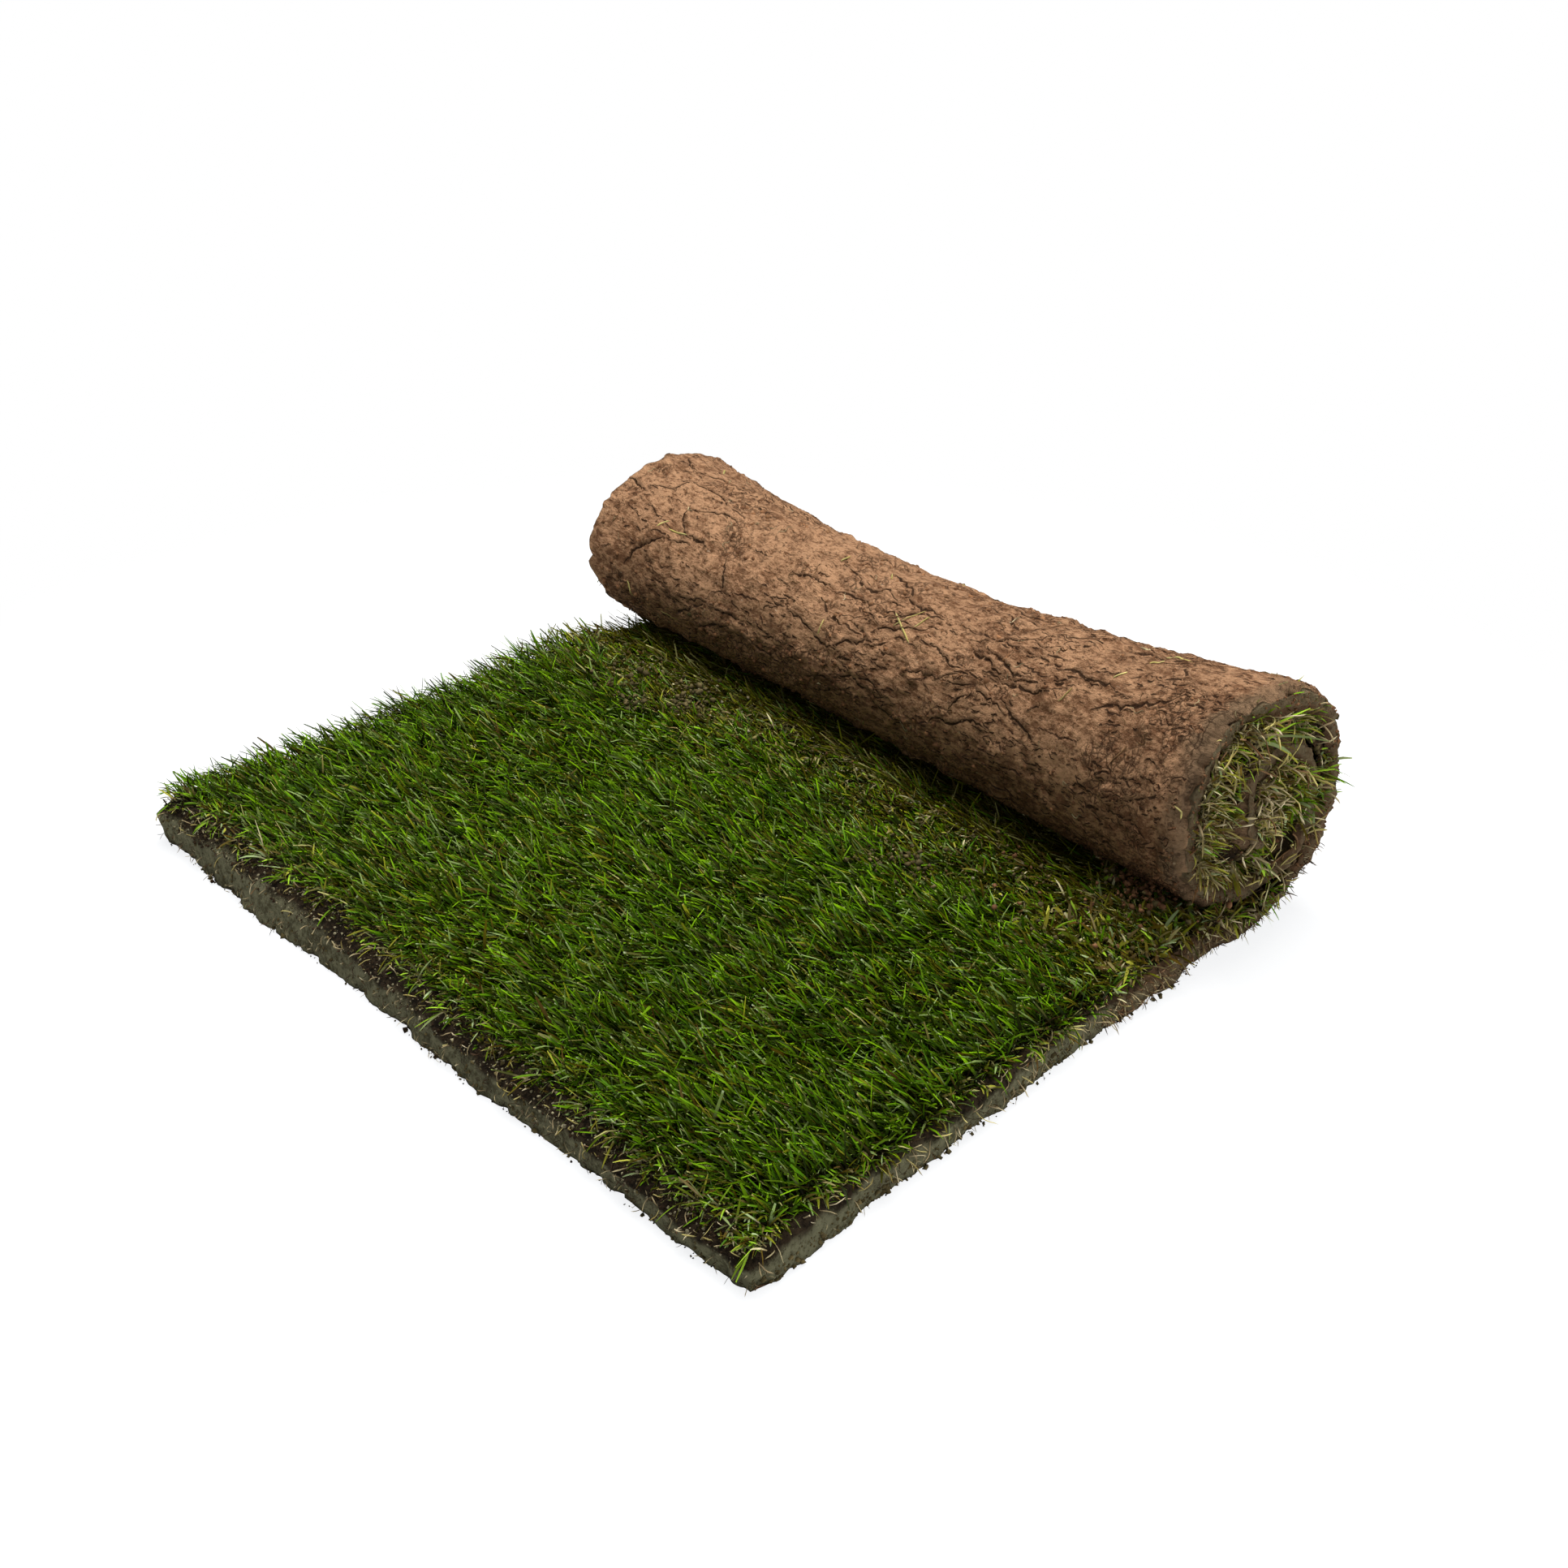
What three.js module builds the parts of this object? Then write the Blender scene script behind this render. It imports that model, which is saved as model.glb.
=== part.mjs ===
// Roll of turf, half unrolled. One strip of turf, soil bound by roots with the sward on it,
// lies flat from its cut end and is then wound up, grass inwards, into a loose coil that
// rests on the flat length. The coil is waisted: thin in the middle, fatter at both ends.
//
// Millimetres, +Z up. X runs along the strip towards the coil, Y across it. The origin is on
// the underside, at the middle of the flat length and of the width.

import * as THREE from 'three';

// ---------------------------------------------------------------- driving dimensions

const width = 610; // strip, from cut edge to cut edge
const flatLength = 477; // cut end to where the underside leaves the ground, mid-width

const soilFlat = 24; // soil where the strip lies flat
const soilCoiled = 20; // soil pressed and stretched by winding
const thinningLength = 140; // stretch over which the first becomes the second
const grassFlat = 14; // sward standing on the flat length
const grassPressed = 3.9; // sward pressed between two turns
const gap = 0.3; // least clearance between soil and sward, and between turns

// The coil's values across the width: at the right cut edge (Y low), the middle and the left.
const coilRadius = { right: 101, middle: 79, left: 83.6 }; // underside of the first turn
const coilAdvance = { right: -16, middle: 0, left: 16 }; // its centre past the flat length
const coilStretch = { right: 0.886, middle: 1.05, left: 1.198 }; // width over height
const coilLean = { right: -0.137, middle: -0.073, left: -0.009 }; // sideways per mm of height
const coilOverhang = { right: 13.3, middle: 4.5, left: -4.3 }; // towards Y low, turn one
const driftPerTurn = 8.6; // each turn winds this far towards Y high
const coreHole = 6; // radius left open at the heart of the coil

const clayShare = 0.66; // lower part of the cut end that stands upright
const endSetBack = 12; // top of the cut end, behind its foot
const edgeBatter = 3; // top of each long cut edge, inside its foot
const edgeBulge = { right: 1.5, left: 5 }; // the clay band stands this far proud of the foot
const swardSetBack = 8; // sward starts this far behind the top of the cut end
const swardInset = 4; // and this far inside the long edges
const swardRise = 60; // length over which it reaches full height
const fringeHeight = 0.4; // its height at the cut end, as a share of full height
const edgeWave = { height: 2.2, length: 173 }; // wander of the long cut edges
const endWave = { height: 2.0, length: 240 }; // wander of the cut end
const cornerRound = { reach: 110, depth: 7 }; // near corner worn back

// ---------------------------------------------------------------- resolution

const stepsPerTurn = 30;
const stepsFlat = 12; // from the cut end to below the coil's nose
const stepsAcross = 12;

// ---------------------------------------------------------------- derived values

// Facets bridge the hollow of the waist, so what they face stands off by that sag as well.
const waistHollow = ( coilRadius.left + coilRadius.right ) / 2 - coilRadius.middle;
const clearance = gap + Math.abs( waistHollow ) / stepsAcross ** 2;
const turnPitch = soilCoiled + grassPressed + 2 * clearance;
const coreRadius = soilCoiled + grassPressed + coreHole;
const waistRadius = least( coilRadius );
const turns = Math.floor( ( waistRadius - coreRadius ) / turnPitch * stepsPerTurn ) / stepsPerTurn;
const easing = 0.3; // share of a turn over which the strip starts to wind inwards
const noseStep = Math.round( 0.75 * stepsPerTurn ); // step at the coil's foremost point
const stepsCoil = Math.round( turns * stepsPerTurn );
const stepsUnder = stepsPerTurn - noseStep; // flat stations that lie below the coil
const coilStart = stepsFlat + stepsUnder; // station at which the underside leaves the ground
const stations = coilStart + stepsCoil;

// ---------------------------------------------------------------- the coil's spiral

// u is -1 at the right cut edge, 0 mid-width and 1 at the left cut edge.
const across = ( y ) => 2 * y / width;

// The parabola through a value's right, middle and left numbers.
function spread( value, u ) {

	const slope = ( value.left - value.right ) / 2;
	const bend = ( value.left + value.right ) / 2 - value.middle;
	return value.middle + slope * u + bend * u * u;

}

// The least that a value comes to anywhere across the width.
function least( value ) {

	const places = Array.from( { length: 41 }, ( _, n ) => n / 20 - 1 );
	return Math.min( ...places.map( ( u ) => spread( value, u ) ) );

}

// Share of the turn pitch wound in after t turns: eased in, then even.
function wound( t ) {

	const even = 1 - easing / 2;
	return t < easing ? t * t / ( 2 * easing ) / even : ( t - easing / 2 ) / even;

}

// Radius of the underside after t turns. The first turn closes on the sward below it. The rest
// run in to the core, which they reach after the same number of turns at every width, so that
// the turns lie tight at the waist and loose at the ends.
function spiralRadius( t, u ) {

	const outer = spread( coilRadius, u );
	if ( t <= 1 ) return outer - turnPitch * wound( t );
	const second = outer - turnPitch;
	const slope = turnPitch / ( 1 - easing / 2 );
	const left = turns - 1;
	const bend = ( second - coreRadius - slope * left ) / ( left * left );
	return second - slope * ( t - 1 ) - bend * ( t - 1 ) ** 2;

}

// A point of the coil, depth mm inside the underside, after t turns.
function coilPoint( t, u, depth ) {

	const angle = 2 * Math.PI * t;
	const reach = spiralRadius( t, u ) - depth;
	const z = spread( coilRadius, u ) - reach * Math.cos( angle );
	const centre = flatLength + spread( coilAdvance, u );
	const x = centre + spread( coilStretch, u ) * reach * Math.sin( angle ) + spread( coilLean, u ) * z;
	return { x, z };

}

// ---------------------------------------------------------------- the strip's own directions

const turnsAt = ( station ) => ( station - coilStart ) / stepsPerTurn;
const smooth = THREE.MathUtils.smoothstep;

// Where a flat station's underside lies along X. The stations below the coil follow the
// coil's own steps, so that the sward there keeps clear of the turn above it.
function flatX( station, u ) {

	if ( station === coilStart ) return flatLength + spread( coilAdvance, u );
	if ( station > stepsFlat ) return coilPoint( ( noseStep + station - stepsFlat ) / stepsPerTurn, u, 0 ).x;
	return coilPoint( noseStep / stepsPerTurn, u, 0 ).x * station / stepsFlat;

}

// Height that the coil leaves free above a flat station.
function ceiling( station, u ) {

	if ( station < stepsFlat ) return Infinity;
	return coilPoint( ( noseStep + station - stepsFlat ) / stepsPerTurn, u, 0 ).z - clearance;

}

// Sideways place of a point that lies share (0 to 1) of the way across the strip, whose
// long edges stand inset mm inside their feet there.
function placeAcross( station, share, inset ) {

	const run = flatLength * Math.min( 1, station / coilStart )
		+ coilRadius.middle * 2 * Math.PI * Math.max( 0, turnsAt( station ) );
	const wander = edgeWave.height * Math.sin( 2 * Math.PI * run / edgeWave.length );
	const low = - width / 2 + inset.right + wander;
	const high = width / 2 - inset.left + wander;
	const y = low + ( high - low ) * share;
	const t = Math.max( 0, turnsAt( station ) );
	const settle = smooth( t, 0, 0.25 );
	return y - settle * spread( coilOverhang, across( y ) ) + driftPerTurn * t;

}

// How far the cut end lies behind X = 0 at this place across.
function cutBack( y ) {

	const toCorner = Math.max( 0, 1 - ( y + width / 2 ) / cornerRound.reach );
	const wave = endWave.height * Math.sin( 2 * Math.PI * y / endWave.length );
	return wave + cornerRound.depth * toCorner ** 2;

}

const soilThickness = ( x ) =>
	soilFlat + ( soilCoiled - soilFlat ) * smooth( x, flatLength - thinningLength, flatLength - 20 );

function soilDepth( station, u ) {

	return station < coilStart ? soilThickness( flatX( station, u ) - spread( coilAdvance, u ) ) : soilCoiled;

}

// Thickness of the sward: full height on the flat, and what the next turn leaves in the coil.
function swardThickness( station, u, soil ) {

	const t = turnsAt( station );
	if ( t < 0 ) {

		const rise = smooth( flatX( station, u ), 0, swardRise );
		const standing = grassFlat * ( fringeHeight + ( 1 - fringeHeight ) * rise );
		return Math.min( standing, ceiling( station, u ) - soil - clearance );

	}

	const besideNext = t + 1 < turns + 1.5 / stepsPerTurn; // and one step past its inner end
	const next = besideNext ? spiralRadius( Math.min( t + 1, turns ), u ) + clearance : coreHole;
	return Math.min( grassFlat, spiralRadius( t, u ) - soil - clearance - next );

}

// A point of the strip in the object's own frame: station along it, share across it, depth
// inside the underside, and the set-back of its cut end at that depth.
function stripPoint( station, share, inset, depth, setBack ) {

	const y = placeAcross( station, share, inset );
	const u = across( y );
	if ( station >= coilStart ) {

		const { x, z } = coilPoint( turnsAt( station ), u, depth( u ) );
		return [ x - flatLength / 2, y, z ];

	}

	const z = depth( u );
	const along = station / coilStart;
	const start = Math.max( 0, 1 - station / stepsFlat ) * ( cutBack( y ) + setBack );
	const x = flatX( station, u ) + start + spread( coilLean, u ) * z * along * along;
	return [ x - flatLength / 2, y, z ];

}

// ---------------------------------------------------------------- solids

// Closed surface of a block of cells, whose corners are given by point( i, j, k ) for
// i, j, k from 0 to the block's three numbers of cells. Faces point out where i, j, k turn
// right-handed.
function blockGeometry( cells, point ) {

	const positions = [];
	const index = [];
	const known = new Map();

	const vertex = ( at ) => {

		const key = at.join();
		if ( ! known.has( key ) ) {

			known.set( key, positions.length / 3 );
			positions.push( ...point( ...at ) );

		}

		return known.get( key );

	};

	for ( let axis = 0; axis < 3; axis ++ ) {

		const [ a, b ] = [ ( axis + 1 ) % 3, ( axis + 2 ) % 3 ];
		for ( const level of [ 0, cells[ axis ] ] ) {

			for ( let m = 0; m < cells[ a ]; m ++ ) {

				for ( let n = 0; n < cells[ b ]; n ++ ) {

					const corner = ( dm, dn ) => {

						const at = [ 0, 0, 0 ];
						at[ axis ] = level;
						at[ a ] = m + dm;
						at[ b ] = n + dn;
						return vertex( at );

					};

					const quad = [ corner( 0, 0 ), corner( 1, 0 ), corner( 1, 1 ), corner( 0, 1 ) ];
					if ( level === 0 ) quad.reverse();
					index.push( quad[ 0 ], quad[ 1 ], quad[ 2 ], quad[ 0 ], quad[ 2 ], quad[ 3 ] );

				}

			}

		}

	}

	const geometry = new THREE.BufferGeometry();
	geometry.setAttribute( 'position', new THREE.Float32BufferAttribute( positions, 3 ) );
	geometry.setIndex( index );
	geometry.computeVertexNormals();
	return geometry;

}

// The soil is a block two cells deep: an upright clay band below, and above it the rooty
// part, which slopes back at the cut end and leans in along the edges.
function soilGeometry() {

	const levels = [
		{ depth: 0, setBack: 0, inset: { right: 0, left: 0 } },
		{ depth: clayShare, setBack: 0, inset: { right: - edgeBulge.right, left: - edgeBulge.left } },
		{ depth: 1, setBack: endSetBack, inset: { right: edgeBatter, left: edgeBatter } }
	];
	return blockGeometry( [ stations, stepsAcross, 2 ], ( i, j, k ) => {

		const { depth, setBack, inset } = levels[ k ];
		return stripPoint( i, j / stepsAcross, inset, ( u ) => depth * soilDepth( i, u ), setBack );

	} );

}

// The sward is a block one cell deep that stands on the soil, a gap above it.
function swardGeometry() {

	const start = endSetBack + swardSetBack;
	const inset = { right: edgeBatter + swardInset, left: edgeBatter + swardInset };
	return blockGeometry( [ stations, stepsAcross, 1 ], ( i, j, k ) => {

		return stripPoint( i, j / stepsAcross, inset, ( u ) => {

			const soil = soilDepth( i, u );
			return soil + clearance + k * swardThickness( i, u, soil );

		}, start );

	} );

}

function layer( name, geometry, color, roughness ) {

	const material = new THREE.MeshStandardMaterial( { color, roughness, metalness: 0 } );
	const mesh = new THREE.Mesh( geometry, material );
	mesh.name = name;
	return mesh;

}

const turf = new THREE.Group();
turf.name = 'turf_roll';
turf.add( layer( 'soil_mat', soilGeometry(), 0x73543d, 0.95 ) );
turf.add( layer( 'grass_sward', swardGeometry(), 0x3f5714, 0.7 ) );

export default turf;
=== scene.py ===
"""Roll of turf, half unrolled: cracked earth, cut edges, sward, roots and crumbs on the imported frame."""

import logging
import math
from dataclasses import dataclass, field, replace
from enum import Enum
from functools import cached_property, partial, reduce

import bpy
import numpy as np
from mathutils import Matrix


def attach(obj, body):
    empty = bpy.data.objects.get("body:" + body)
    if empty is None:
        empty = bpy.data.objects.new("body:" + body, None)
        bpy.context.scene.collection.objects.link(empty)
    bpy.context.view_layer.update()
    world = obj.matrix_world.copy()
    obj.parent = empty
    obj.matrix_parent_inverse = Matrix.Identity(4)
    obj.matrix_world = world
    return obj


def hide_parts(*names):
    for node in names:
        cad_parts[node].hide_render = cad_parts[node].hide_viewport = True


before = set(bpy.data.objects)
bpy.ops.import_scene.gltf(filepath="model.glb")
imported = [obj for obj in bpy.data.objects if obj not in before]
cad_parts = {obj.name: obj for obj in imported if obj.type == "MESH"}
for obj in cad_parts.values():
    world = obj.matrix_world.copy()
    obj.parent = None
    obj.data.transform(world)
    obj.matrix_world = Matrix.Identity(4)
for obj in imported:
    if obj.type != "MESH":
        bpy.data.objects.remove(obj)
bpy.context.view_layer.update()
LOG = logging.getLogger("turf")
MM = 0.001  # shapes are worked out in mm and become metres when they are placed
COLUMNS = 128  # columns in a palette's map
BAKE_MAP = "OFBake"
Array = np.ndarray
Rng = np.random.Generator
Node = bpy.types.Node
Socket = bpy.types.NodeSocket
Sockets = bpy.types.bpy_prop_collection
Colour = tuple[float, float, float, float]
Stops = tuple[tuple[float, Colour], ...]


# ------------------------------------------------------------------ numbers and noise

WORD = 0xFFFFFFFF  # the hash works in 32 bits
AXIS_PRIMES = (73856093, 19349663, 83492791)
SEED_PRIME, MIXER = 2654435761, 0x45D9F3B


def places(*parts: Array | float) -> Array:
    """The parts as coordinates side by side, along a new last axis."""
    return np.stack(np.broadcast_arrays(*parts), axis=-1)


def unit(vectors: Array) -> Array:
    """The same vectors at length 1."""
    return vectors / np.maximum(np.linalg.norm(vectors, axis=-1, keepdims=True), 1e-12)


def smoothstep(value: Array, low: float, high: float) -> Array:
    """The curve 3q^2 - 2q^3 of value's share q of the way from low to high, held at 0 and 1."""
    part = np.clip((value - low) / (high - low), 0.0, 1.0)
    return part * part * (3.0 - 2.0 * part)


def fall(value: Array, low: float, high: float) -> Array:
    """1 up to low, easing down to 0 at high."""
    return 1.0 - smoothstep(value, low, high)


def lattice_hash(cells: Array, seed: int) -> Array:
    """Random-looking numbers from 0 to 1, always the same for the same whole-number cell.

    Args:
        cells: whole numbers, the last axis being the cell's own coordinates.
        seed: picks one pattern out of many.

    Returns:
        One number for each cell: the coordinates times large primes, mixed by shifts and products.
    """
    total = np.full(cells.shape[:-1], (seed * SEED_PRIME + 97) & WORD, dtype=np.uint64)
    for axis, prime in zip(range(cells.shape[-1]), AXIS_PRIMES):
        total ^= ((cells[..., axis].astype(np.int64) * prime) & WORD).astype(np.uint64)
    for _ in range(2):
        total ^= total >> np.uint64(16)
        total = (total * np.uint64(MIXER)) & np.uint64(WORD)
    total ^= total >> np.uint64(16)
    return total.astype(float) / (WORD + 1.0)


def noise(points: Array, size: float, seed: int) -> Array:
    """Smooth noise from -1 to 1: hashed lattice corners blended by the quintic fade.

    Args:
        points: coordinates along the last axis, in mm.
        size: spacing of the lattice in mm.
        seed: picks the pattern.

    Returns:
        One value for each point.
    """
    scaled = points / size
    cell = np.floor(scaled).astype(np.int64)
    part = scaled - cell
    fade = part**3 * (part * (part * 6.0 - 15.0) + 10.0)
    total = np.zeros(points.shape[:-1])
    for corner in np.ndindex(*(2,) * points.shape[-1]):
        near = np.array(corner)
        weight = np.prod(np.where(near == 1, fade, 1.0 - fade), axis=-1)
        total += weight * lattice_hash(cell + near, seed)
    return 2.0 * total - 1.0


def layered(points: Array, size: float, seed: int, octaves: int = 3) -> Array:
    """Noise at size plus finer copies, each half the size and half as strong.

    Args:
        points, size, seed: as for noise.
        octaves: how many copies.

    Returns:
        One value for each point, at most 1 either way.
    """
    total = np.zeros(points.shape[:-1])
    for octave in range(octaves):
        total += noise(points, size / 2**octave, seed + 31 * octave) / 2**octave
    return total / (2.0 - 0.5 ** (octaves - 1))


@dataclass
class Plates:
    """The plate that each point is on."""

    centre: Array  # distance to the plate's centre, in mm
    ident: Array  # the plate's own random number, 0 to 1
    offset: Array  # from the plate's centre to the point, in mm


def plates(points: Array, size: tuple[float, float], seed: int) -> Plates:
    """Plates round scattered centres, one in each cell of a stretched square lattice.

    Args:
        points: two coordinates in mm along the last axis.
        size: the lattice's two spacings in mm.
        seed: picks the pattern.

    Returns:
        The plate with the nearest centre, for each point.
    """
    spacing = np.array(size)
    base = np.floor(points / spacing).astype(np.int64)
    nearest = np.full(points.shape[:-1], np.inf)
    ident = np.zeros(points.shape[:-1])
    offset = np.zeros(points.shape)
    for step in np.ndindex(3, 3):
        cell = base + np.array(step) - 1
        jitter = places(lattice_hash(cell, seed), lattice_hash(cell, seed + 7))
        away = points - (cell + 0.1 + 0.8 * jitter) * spacing
        distance = np.linalg.norm(away, axis=-1)
        closer = distance < nearest
        nearest = np.where(closer, distance, nearest)
        ident = np.where(closer, lattice_hash(cell, seed + 13), ident)
        offset = np.where(closer[..., None], away, offset)
    return Plates(centre=nearest, ident=ident, offset=offset)


def srgb(red: int, green: int, blue: int) -> Colour:
    """A screen colour from 0 to 255 as the linear one a shader takes."""
    parts = [channel / 255.0 for channel in (red, green, blue)]
    return (*[p / 12.92 if p <= 0.04045 else ((p + 0.055) / 1.055) ** 2.4 for p in parts], 1.0)


def stops(*marks: tuple[float, int, int, int]) -> Stops:
    """A ramp's stops: the place of each, and its screen colour from there on."""
    return tuple((place, srgb(*colour)) for place, *colour in marks)


# ------------------------------------------------------------------ the strip's form


@dataclass(frozen=True)
class Across:
    """A size that changes across the strip, given at the right cut edge, mid-width and the left."""

    right: float
    middle: float
    left: float

    def at(self, u: Array) -> Array:
        """The parabola through the three values, for u from -1 (right) to 1 (left)."""
        slope = (self.left - self.right) / 2.0
        return self.middle + slope * u + self.hollow * u * u

    @property
    def hollow(self) -> float:
        """How far the mean of the two edges lies above the middle."""
        return (self.left + self.right) / 2.0 - self.middle


@dataclass(frozen=True)
class StripForm:
    """The turf strip's form in mm: flat from its cut end, then wound up into a waisted coil.

    A place on the strip is a station along it, a share (0 to 1) across it from the right cut
    edge, and a depth inside the underside. The coil is a spiral whose radius falls by one
    pitch a turn, stretched and leaned differently across the width. The sizes are the CAD's own.
    """

    width: float = 610.0
    flat_length: float = 477.0
    soil_flat: float = 24.0
    soil_coiled: float = 20.0
    thinning: tuple[float, float] = (140.0, 20.0)  # where it starts and ends, before the coil
    grass_pressed: float = 3.9
    gap: float = 0.3
    coil_radius: Across = Across(101.0, 79.0, 83.6)
    coil_advance: Across = Across(-16.0, 0.0, 16.0)
    coil_stretch: Across = Across(0.886, 1.05, 1.198)
    coil_lean: Across = Across(-0.137, -0.073, -0.009)
    coil_overhang: Across = Across(13.3, 4.5, -4.3)
    drift_per_turn: float = 8.6
    core_hole: float = 6.0
    bulge_level: float = 0.66
    edge_bulge: tuple[float, float] = (1.5, 5.0)
    edge_batter: float = 3.0
    end_set_back: float = 12.0
    edge_wave: tuple[float, float] = (2.2, 173.0)
    end_wave: tuple[float, float] = (2.0, 240.0)
    corner_round: tuple[float, float] = (110.0, 7.0)
    per_turn: int = 30
    flat_steps: int = 12
    steps_across: int = 12
    easing: float = 0.3

    @property
    def clearance(self) -> float:
        """The gap, plus how far the waist's parabola sags between two steps across."""
        return self.gap + abs(self.coil_radius.hollow) / self.steps_across**2

    @property
    def pitch(self) -> float:
        """How far the radius falls in one turn."""
        return self.soil_coiled + self.grass_pressed + 2.0 * self.clearance

    @property
    def core_radius(self) -> float:
        """Radius of the underside where the strip ends at the coil's heart."""
        return self.soil_coiled + self.grass_pressed + self.core_hole

    @property
    def flush_per_turn(self) -> float:
        """How far each turn's right edge was pushed back, which leaves the right end almost flush."""
        return 0.95 * self.drift_per_turn

    @cached_property
    def turns(self) -> float:
        """Turns in the coil: what the waist has room for, in whole steps."""
        waist = float(np.min(self.coil_radius.at(np.linspace(-1.0, 1.0, 41))))
        return math.floor((waist - self.core_radius) / self.pitch * self.per_turn) / self.per_turn

    @property
    def nose(self) -> int:
        """The step at which the coil's first turn reaches furthest over the flat length."""
        return round(0.75 * self.per_turn)

    @property
    def coil_start(self) -> int:
        """The station at which the underside leaves the ground."""
        return self.flat_steps + self.per_turn - self.nose

    @property
    def last(self) -> float:
        """The strip's last station, at the coil's heart."""
        return self.coil_start + self.turns * self.per_turn

    def turn(self, station: Array) -> Array:
        """Turns wound at a station, negative on the flat."""
        return (station - self.coil_start) / self.per_turn

    def wound_station(self, t: Array) -> Array:
        """The station after t turns."""
        return self.coil_start + self.per_turn * t

    def u(self, y: Array) -> Array:
        """A sideways place as a share of half the width, -1 at the right edge."""
        return 2.0 * y / self.width

    def wound(self, t: Array) -> Array:
        """Share of the pitch wound in after t turns: quadratic while it eases in, then even."""
        eased = t * t / (2.0 * self.easing)
        return np.where(t < self.easing, eased, t - self.easing / 2.0) / (1.0 - self.easing / 2.0)

    def spiral_radius(self, t: Array, u: Array) -> Array:
        """Radius of the underside: one pitch less after a turn, then a parabola to the core.

        Args:
            t: turns wound.
            u: place across, -1 to 1.

        Returns:
            The radius in mm before the coil is stretched and leaned.
        """
        outer = self.coil_radius.at(u)
        second = outer - self.pitch
        slope = self.pitch / (1.0 - self.easing / 2.0)
        left = self.turns - 1.0
        bend = (second - self.core_radius - slope * left) / left**2
        inner = second - slope * (t - 1.0) - bend * (t - 1.0) ** 2
        return np.where(t <= 1.0, outer - self.pitch * self.wound(t), inner)

    def coil_point(self, t: Array, u: Array, depth: Array) -> tuple[Array, Array]:
        """A point of the wound strip: round a circle of the spiral's radius, stretched and leaned.

        Args:
            t: turns wound.
            u: place across, -1 to 1.
            depth: distance inside the underside.

        Returns:
            Its places along X, from the cut end, and Z.
        """
        angle = 2.0 * np.pi * t
        reach = self.spiral_radius(t, u) - depth
        z = self.coil_radius.at(u) - reach * np.cos(angle)
        centre = self.flat_length + self.coil_advance.at(u)
        x = centre + self.coil_stretch.at(u) * reach * np.sin(angle) + self.coil_lean.at(u) * z
        return x, z

    def nose_x(self, y: Array) -> Array:
        """Where the coil's nose is along X, at sideways places."""
        return self.coil_point(np.array(self.nose / self.per_turn), self.u(y), 0.0)[0]

    def _station_x(self, station: Array, u: Array) -> Array:
        """Where a whole flat station's underside lies along X: below the coil, under its own station.

        Args:
            station: whole stations.
            u: place across, -1 to 1.

        Returns:
            Places from the cut end.
        """
        under = np.maximum(station - self.flat_steps, 0.0)
        t = np.minimum((self.nose + under) / self.per_turn, 1.0)
        x = self.coil_point(t, u, 0.0)[0] * np.minimum(station / self.flat_steps, 1.0)
        return np.where(station >= self.coil_start, self.flat_length + self.coil_advance.at(u), x)

    def flat_x(self, station: Array, u: Array) -> Array:
        """Where a flat station's underside lies along X, straight between whole stations.

        Args:
            station: stations on the flat.
            u: place across, -1 to 1.

        Returns:
            Places from the cut end.
        """
        before = np.clip(np.floor(station), 0, self.coil_start - 1)
        part = np.clip(station - before, 0.0, 1.0)
        return (1.0 - part) * self._station_x(before, u) + part * self._station_x(before + 1, u)

    def soil_at_x(self, x: Array) -> Array:
        """Thickness of the soil: full, then thinner towards the coil.

        Args:
            x: distance from the cut end.

        Returns:
            The thickness in mm.
        """
        start, end = self.thinning
        thin = smoothstep(x, self.flat_length - start, self.flat_length - end)
        return self.soil_flat + (self.soil_coiled - self.soil_flat) * thin

    def soil(self, station: Array, u: Array) -> Array:
        """Thickness of the soil at a station."""
        flat = np.minimum(station, self.coil_start)
        return self.soil_at_x(self.flat_x(flat, u) - self.coil_advance.at(u))

    def edge_wander(self, run: Array) -> Array:
        """How far both long edges lie to the left of straight: a sine."""
        return self.edge_wave[0] * np.sin(2.0 * np.pi * run / self.edge_wave[1])

    def place_across(self, station: Array, share: Array, inset: tuple[Array, Array]) -> Array:
        """The sideways place of a share of the way across; the edges wander and the coil drifts.

        Args:
            station: place along the strip.
            share: share of the way from the right cut edge.
            inset: how far the right and the left edge lie inside their lines.

        Returns:
            The place along Y in mm.
        """
        t = np.maximum(self.turn(station), 0.0)
        run = self.flat_length * np.minimum(1.0, station / self.coil_start)
        wander = self.edge_wander(run + self.coil_radius.middle * 2.0 * np.pi * t)
        low = -self.width / 2.0 + inset[0] + wander
        high = self.width / 2.0 - inset[1] + wander
        y = low + (high - low) * share
        return y - smoothstep(t, 0.0, 0.25) * self.coil_overhang.at(self.u(y)) + self.drift_per_turn * t

    def cut_back(self, y: Array) -> Array:
        """How far the cut end lies behind its line: a sine, and the worn near corner.

        Args:
            y: place across.

        Returns:
            The distance in mm.
        """
        reach, depth = self.corner_round
        corner = np.maximum(0.0, 1.0 - (y + self.width / 2.0) / reach)
        return self.end_wave[0] * np.sin(2.0 * np.pi * y / self.end_wave[1]) + depth * corner**2

    def profile(self, level: Array) -> tuple[Array, Array, Array]:
        """The section of the cut faces: each bulges a little, and the end slopes in its upper part.

        Args:
            level: depth as a share of the soil's thickness.

        Returns:
            Right inset, left inset and end set-back in mm.
        """
        marks = [0.0, self.bulge_level, 1.0]
        right, left = (np.interp(level, marks, [0.0, -out, self.edge_batter]) for out in self.edge_bulge)
        return right, left, np.interp(level, marks, [0.0, 0.0, self.end_set_back])

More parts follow.
